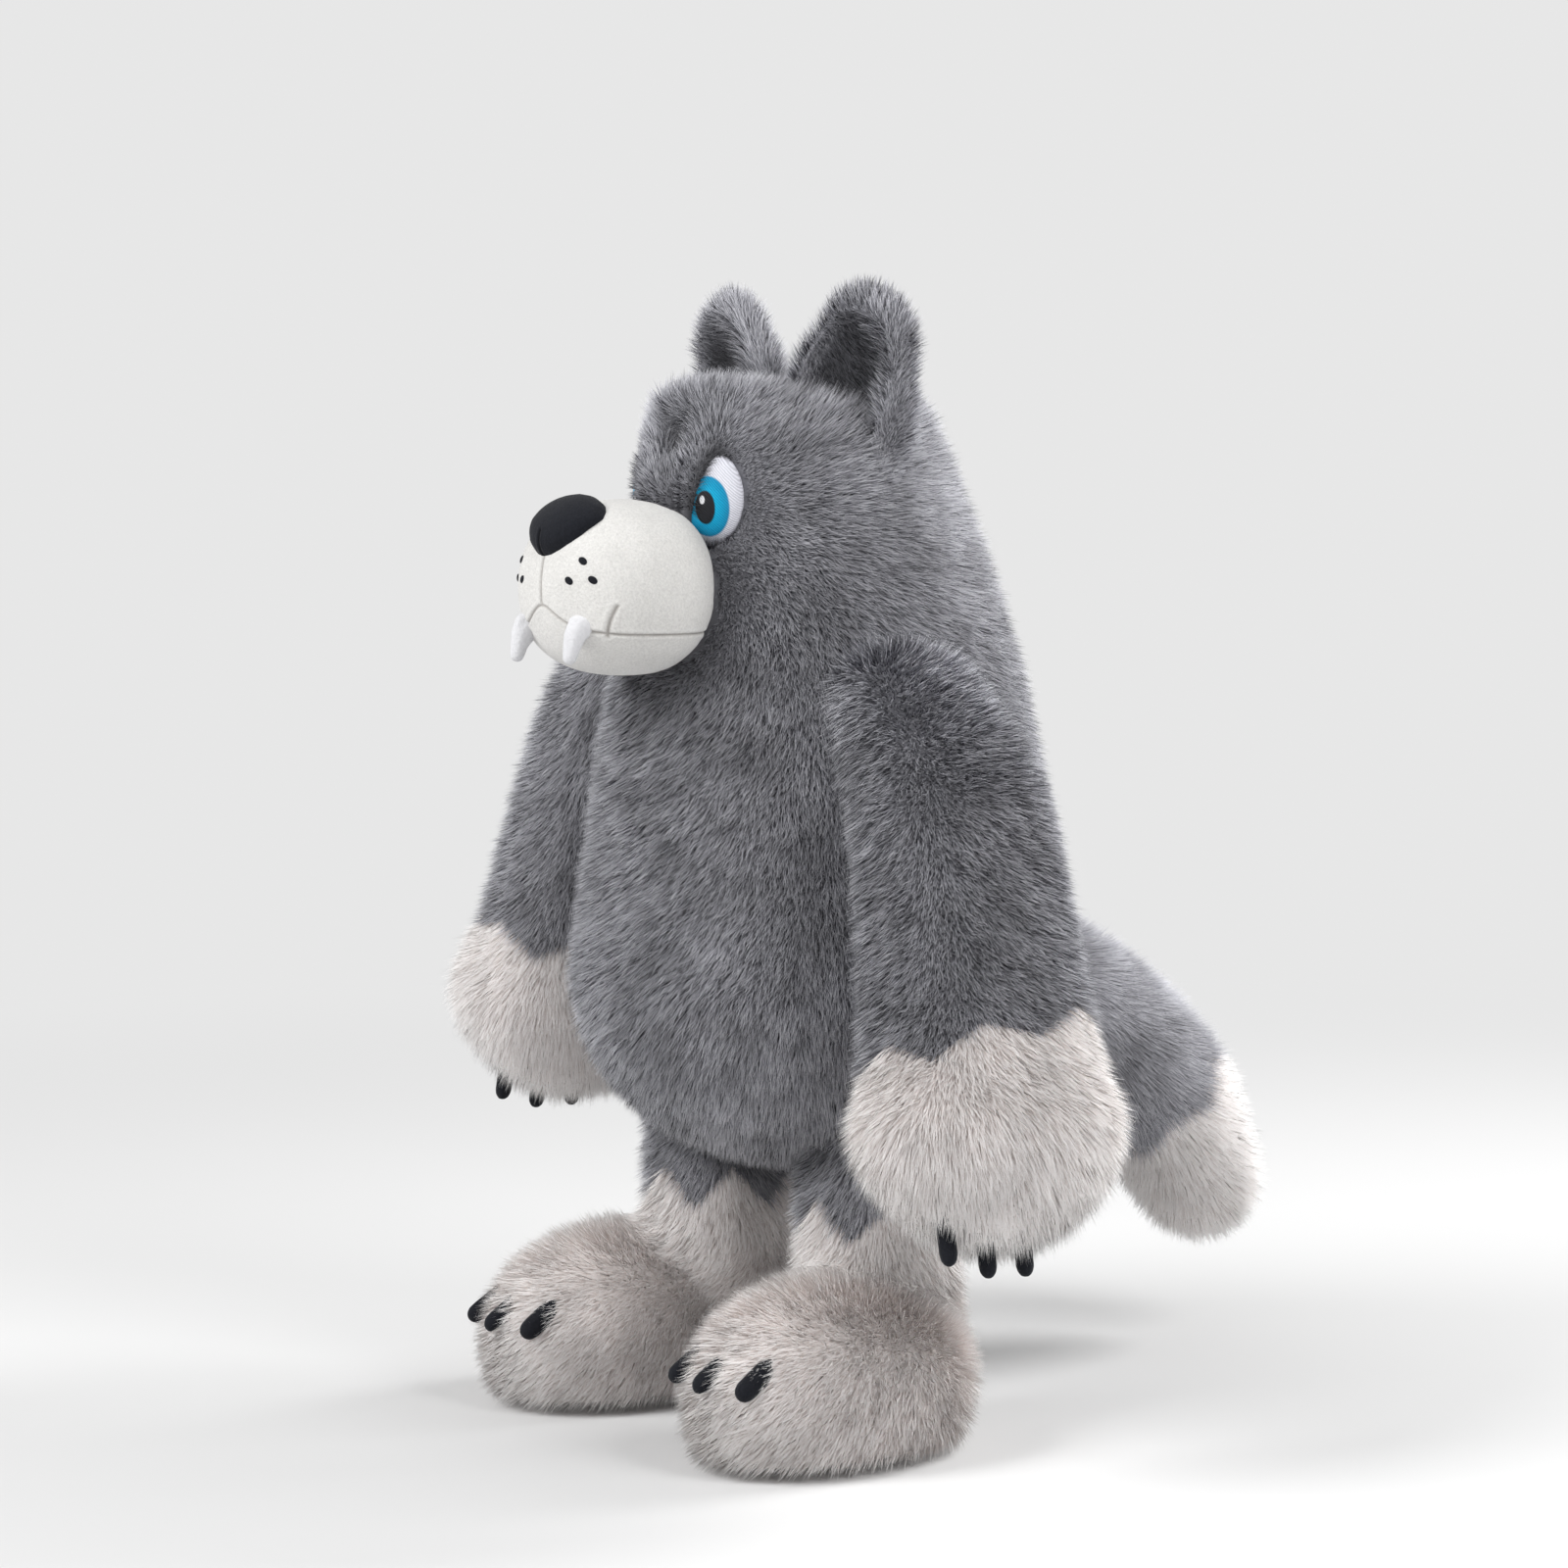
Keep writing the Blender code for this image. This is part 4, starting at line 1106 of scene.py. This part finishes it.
def velour(name, colour, seam_colour, scale, depth, contrast, sheen):
    """Short-nap cloth; where the seam value is 1 the cloth is pulled into a stitched groove."""
    look, tree, shader = new_look(name)
    grain = add_node(
        tree, "ShaderNodeGroup", {"Scale": scale, "Depth": depth, "Contrast": contrast},
        node_tree=nap,
    ).outputs
    seam = add_node(tree, "ShaderNodeAttribute", attribute_name="seam").outputs["Fac"]
    cloth = add_node(
        tree, "ShaderNodeMix", {"A": (*colour, 1), "B": (*seam_colour, 1), "Factor": seam},
        data_type="RGBA",
    ).outputs["Result"]
    inputs = {"Base Color": shaded(tree, cloth, grain["Shade"]), "Normal": grain["Normal"]}
    set_inputs(tree, shader, {**inputs, **NAP_SHEEN, "Sheen Weight": sheen})
    return look


white_nap = velour("white nap", (0.68, 0.68, 0.70), (0.5, 0.5, 0.5), 700.0, 0.0006, 0.35, 0.15)
short_nap = velour("short nap", (0.68, 0.67, 0.65), (0.38, 0.36, 0.34), 800.0, 0.0007, 0.6, 0.3)
black_nap = velour(
    "black nap", (0.010, 0.011, 0.015), (0.003, 0.003, 0.004), 800.0, 0.0006, 1.2, 0.07
)
print("nodes of the nap:", len(nap.nodes))

# %% Stuffed velour forms


def soft_form(name, nodes, carriers, shift, voxel, smoothing, swell=0.0, narrow=1.0):
    """A stuffed form: its solids fused, rooted deeper and rounded by the stuffing."""
    piece = copy_of(name, nodes)
    root_deeper(piece, carriers, shift, narrow=narrow)
    places, normals = fuse(piece, voxel, smoothing)
    move_corners(piece, places + normals * swell)
    piece.data.shade_smooth()
    return piece


def press_seams(piece, distance_of, depth, width, near=0.004, cuts=2):
    """Cuts finer faces along the seams and presses a groove there, with a swell beside it."""
    places, _ = corners_of(piece.data)
    places, normals = cut_finer(piece, distance_of(places) < near, cuts)
    away = distance_of(places)
    groove = np.exp(-((away / width) ** 2))
    swell = 0.35 * np.exp(-(((away - 2.6 * width) / (1.4 * width)) ** 2))
    move_corners(piece, places - normals * (depth * (groove - swell))[:, None])
    keep_values(piece, "seam", groove)
    piece.data.shade_smooth()


def finish_soft(piece, nodes, look):
    piece.data.materials.clear()
    piece.data.materials.append(look)
    finish_piece(piece, nodes)


# %% [markdown]
# ## Muzzle and chin
# The upper lip and the chin are two panels with the mouth as the seam between them; a middle seam
# and a dart on each side give the lobes. Each seam is a curve in the plane of the face, and the
# distance from the nearest one tells how deep the cloth is pulled in.

# %% Muzzle and chin
MOUTH_CORNER_DROP = 0.0245
MOUTH_PEAK_DROP = 0.008
MOUTH_PEAK_WIDTH = 0.016
MIDDLE_SEAM_TOP = 0.044
DART = ((0.041, -0.008), (0.034, -0.023))
MUZZLE_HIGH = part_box("muzzle")[1]
MUZZLE_CENTRE = (BODY_MIDDLE, MUZZLE_HIGH[2] - MIDDLE_SEAM_TOP)


def to_segment(x, z, start, stop):
    """Distance in the plane of the face from a line between two places."""
    along_x, along_z = stop[0] - start[0], stop[1] - start[1]
    share = ((x - start[0]) * along_x + (z - start[1]) * along_z) / (along_x**2 + along_z**2)
    share = np.clip(share, 0, 1)
    return np.hypot(x - start[0] - along_x * share, z - start[1] - along_z * share)


def muzzle_seams(places):
    """Distance from the mouth, from the middle seam above it and from the dart on each side."""
    x = places[:, 0] - MUZZLE_CENTRE[0]
    z = places[:, 2] - MUZZLE_CENTRE[1]
    peak = 1 / (1 + (x / MOUTH_PEAK_WIDTH) ** 2)
    mouth = -(MOUTH_CORNER_DROP + (MOUTH_PEAK_DROP - MOUTH_CORNER_DROP) * peak)
    slope = 2 * x / MOUTH_PEAK_WIDTH**2 * peak**2 * (MOUTH_CORNER_DROP - MOUTH_PEAK_DROP)
    away = np.abs(z - mouth) / np.sqrt(1 + slope**2)
    middle = to_segment(x, z, (0, -MOUTH_PEAK_DROP), (0, MIDDLE_SEAM_TOP))
    dart = to_segment(np.abs(x), z, *DART)
    away = np.minimum(np.minimum(away, middle), dart)
    return np.where(places[:, 1] < MUZZLE_HIGH[1], away, 1.0)


muzzle_skin = soft_form(
    "muzzle_skin", ["muzzle", "chin"], ["torso"], (0, 0.006, 0), 0.0021, 20, 0.0006, narrow=0.8
)
press_seams(muzzle_skin, muzzle_seams, 0.0008, 0.0007, cuts=3)
finish_soft(muzzle_skin, ["muzzle", "chin"], short_nap)

# %% [markdown]
# ## Whisker stitches
# Three short stitches of black thread on each side stand for the roots of whiskers. A stitch is a
# cushion of thread, so one flat oval is made in edit mode, copied, and laid on the muzzle where a
# line from the front meets it.

# %% Whisker stitches
WHISKERS = ((0.0266, 0.0143), (0.0204, 0.0045), (0.0325, 0.0050))


def whisker_stitch():
    """A short black satin stitch: a flat oval cushion, longer than wide."""
    bpy.ops.object.select_all(action="DESELECT")
    bpy.ops.mesh.primitive_uv_sphere_add(segments=20, ring_count=12, radius=1)
    stitch = bpy.context.object
    bpy.ops.object.mode_set(mode="EDIT")
    bpy.ops.mesh.select_all(action="SELECT")
    bpy.ops.transform.resize(value=(0.0027, 0.0009, 0.0018))
    bpy.ops.transform.rotate(
        value=radians(-28), orient_axis="Y", orient_type="GLOBAL", center_override=(0, 0, 0)
    )
    bpy.ops.object.mode_set(mode="OBJECT")
    stitch.data.shade_smooth()
    return stitch


muzzle_tree = tree_of(muzzle_skin.data)
stitch = whisker_stitch()
for side, sign in SIDES:
    for number, (x, z) in enumerate(WHISKERS):
        start = Vector((MUZZLE_CENTRE[0] + sign * x, -1, MUZZLE_CENTRE[1] + z))
        seat, out, _, _ = muzzle_tree.ray_cast(start, Vector((0, 1, 0)))
        laid = twin_of(stitch, f"{side}_whisker_stitch_{number + 1}")
        turn = Vector((0, -1, 0)).rotation_difference(out).to_matrix().to_4x4()
        mirror = Matrix.Diagonal((sign, 1, 1, 1))
        laid.data.transform(Matrix.Translation(seat) @ turn @ mirror)
        if sign < 0:
            laid.data.flip_normals()
        laid.data.materials.append(black_nap)
        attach(laid, "root")
        print(laid.name, "at", [round(value, 4) for value in seat])
bpy.data.objects.remove(stitch)

# %% [markdown]
# ## Nose
# The nose is a small cushion of black velour, wide above and narrow at the mouth, with one seam
# down its lower middle. It is its solid, rounded, then tapered and pressed in.

# %% Nose
NOSE_TAPER = 0.35
NOSE_SEAM_SHARE = 0.45


def shape_nose(piece):
    """Narrows the nose towards the mouth, to the rounded triangle that its two panels give."""
    places, _ = corners_of(piece.data)
    low, high = places[:, 2].min(), places[:, 2].max()
    share = np.clip((high - 0.35 * (high - low) - places[:, 2]) / (0.65 * (high - low)), 0, 1)
    places[:, 0] = BODY_MIDDLE + (places[:, 0] - BODY_MIDDLE) * (1 - NOSE_TAPER * share)
    move_corners(piece, places)


def nose_seam(places):
    """Distance from the seam in the lower middle of the nose."""
    low, high = (end[2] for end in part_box("nose"))
    below = places[:, 2] < low + NOSE_SEAM_SHARE * (high - low)
    return np.where(below, np.abs(places[:, 0] - BODY_MIDDLE), 1.0)


nose_skin = soft_form("nose_skin", ["nose"], ["muzzle"], (0, 0.005, -0.006), 0.0010, 12, 0.0003)
shape_nose(nose_skin)
press_seams(nose_skin, nose_seam, 0.0007, 0.0007, near=0.003, cuts=1)
finish_soft(nose_skin, ["nose"], black_nap)

# %% [markdown]
# ## Fangs and claws
# Fangs and claws are small bags of velour, sewn, turned and stuffed. Each keeps the form of its
# solid. Its root is moved into what carries it, the muzzle or the fur, because that surface is
# set in or soft.

# %% Fangs
for side, sign in SIDES:
    node = f"{side}_fang"
    fang = soft_form(f"{node}_skin", [node], MOUTH_PIECES, (0, 0.005, 0.002), 0.0009, 6)
    finish_soft(fang, [node], white_nap)

# %% Claws
PAW_ROOT = 0.010
FOOT_ROOT = Vector((0, 0.008, 0.005))

for side, sign in SIDES:
    up_arm = Vector(box_middle(f"{side}_sleeve")) - Vector(box_middle(f"{side}_paw"))
    roots = {"paw": up_arm.normalized() * PAW_ROOT, "foot": FOOT_ROOT}
    for limb, shift in roots.items():
        for number in (1, 2, 3):
            node = f"{side}_{limb}_claw_{number}"
            claw = soft_form(
                f"{node}_skin", [node], [f"{side}_{limb}"], shift, 0.0010, 4, 0.0002
            )
            finish_soft(claw, [node], black_nap)

# %% [markdown]
# ## Eyes
# Each eye is a patch of satin stitch: a white ground, a blue ring and a black middle with a white
# glint. The ring and the middle are each stitched over the layer below and so a little higher.
# The threads of each layer run one way and catch the light in fine lines.

# %% Embroidered eyes
IRIS = (0.0046, -0.0040, 0.0122, 0.0152)
PUPIL = (0.0042, -0.0045, 0.0057, 0.0084)
GLINT = (0.0029, -0.0008, 0.0015, 0.0021)


def eye_material():
    """Ovals in the patch's own map, in millimetres, and threads as fine ribs with a painted sheen.
    """
    look, tree, shader = new_look("satin stitch")
    place = add_node(tree, "ShaderNodeUVMap", uv_map="patch").outputs[0]

    def vector(operation, *values):
        inputs = dict(enumerate(values))
        return add_node(tree, "ShaderNodeVectorMath", inputs, operation=operation).outputs

    def oval(shape, blur):
        """1 inside an oval and 0 outside, and how far each place is from its middle."""
        x, z, half_x, half_z = (value * 1000 for value in shape)
        moved = vector("SUBTRACT", place, (x, z, 0))[0]
        reach = vector("LENGTH", vector("DIVIDE", moved, (half_x, half_z, 1))[0])["Value"]
        inputs = {"Value": reach, "From Min": 1 + blur, "From Max": 1 - blur}
        return add_node(tree, "ShaderNodeMapRange", inputs).outputs[0], reach

    def over(below, colour, mask):
        inputs = {"A": below, "B": colour, "Factor": mask}
        return add_node(tree, "ShaderNodeMix", inputs, data_type="RGBA").outputs["Result"]

    iris, iris_reach = oval(IRIS, 0.03)
    blue = colour_ramp(tree, iris_reach, (0.45, (0.002, 0.38, 0.63)), (1.0, (0.002, 0.24, 0.44)))
    colour = over((0.70, 0.70, 0.77, 1), blue, iris)
    colour = over(colour, (0.010, 0.010, 0.013, 1), oval(PUPIL, 0.05)[0])
    colour = over(colour, (0.85, 0.85, 0.88, 1), oval(GLINT, 0.12)[0])
    ribs = add_node(
        tree, "ShaderNodeTexWave",
        {"Vector": place, "Scale": 0.42, "Distortion": 2.5, "Detail": 2.0, "Detail Scale": 0.8},
        bands_direction="DIAGONAL",
    ).outputs["Fac"]
    # Painted sheen: the colour is made lighter and darker along the ribs, as satin catches the
    # light; the bump gives the ribs themselves.
    painted_thread_sheen = add_node(
        tree, "ShaderNodeMapRange", {"Value": ribs, "To Min": 0.78, "To Max": 1.12}
    ).outputs[0]
    bump = add_node(
        tree, "ShaderNodeBump", {"Distance": 0.0003, "Strength": 0.7, "Height": ribs}
    ).outputs[0]
    inputs = {"Normal": bump, "Roughness": 0.5, "Specular IOR Level": 0.25}
    set_inputs(tree, shader, {"Base Color": shaded(tree, colour, painted_thread_sheen), **inputs})
    return look


satin = eye_material()
print("nodes of the thread:", len(satin.node_tree.nodes))

# %% Eye patches
LAYER_RISE = 0.0004


def eye_patch(side, sign):
    """An oval cushion, turned to the face, whose ring and middle are lifted off the ground."""
    seat, across, out = eye_axes(sign)
    bpy.ops.object.select_all(action="DESELECT")
    bpy.ops.mesh.primitive_uv_sphere_add(segments=72, ring_count=48, radius=1)
    patch = bpy.context.object
    patch.name = f"{side}_eye_patch"
    bpy.ops.object.mode_set(mode="EDIT")
    bpy.ops.mesh.select_all(action="SELECT")
    bpy.ops.transform.rotate(
        value=pi / 2, orient_axis="X", orient_type="GLOBAL", center_override=(0, 0, 0)
    )
    bpy.ops.transform.resize(value=(EYE_SIZE[0], EYE_SIZE[2], EYE_SIZE[1]))
    bpy.ops.transform.rotate(
        value=-sign * EYE_TURN, orient_axis="Z", orient_type="GLOBAL", center_override=(0, 0, 0)
    )
    bpy.ops.transform.translate(value=seat + out * (EYE_PROUD - EYE_SIZE[2]))
    bpy.ops.object.mode_set(mode="OBJECT")
    places, normals = corners_of(patch.data)
    moved = places - np.array(seat)
    u, v = moved @ np.array(across), moved[:, 2]
    rise = np.zeros(len(places))
    for x, z, half_x, half_z in (IRIS, PUPIL):
        reach = np.hypot((u - x) / half_x, (v - z) / half_z)
        rise += LAYER_RISE / (1 + np.exp(np.clip((reach - 1) * 30, -40, 40)))
    move_corners(patch, places + normals * rise[:, None])
    patch.data.shade_smooth()
    spots = np.stack([u, v], 1)[corner_of_loops(patch.data)] * 1000
    layer = patch.data.uv_layers.get("patch") or patch.data.uv_layers.new(name="patch")
    layer.uv.foreach_set("vector", spots.astype(np.float32).ravel())
    return patch


for side, sign in SIDES:
    finish_soft(eye_patch(side, sign), [f"{side}_eye"], satin)

# %% [markdown]
# ## Finish
# The colours are shown through the Standard view transform.

# %% The view transform
bpy.context.scene.view_settings.view_transform = "Standard"
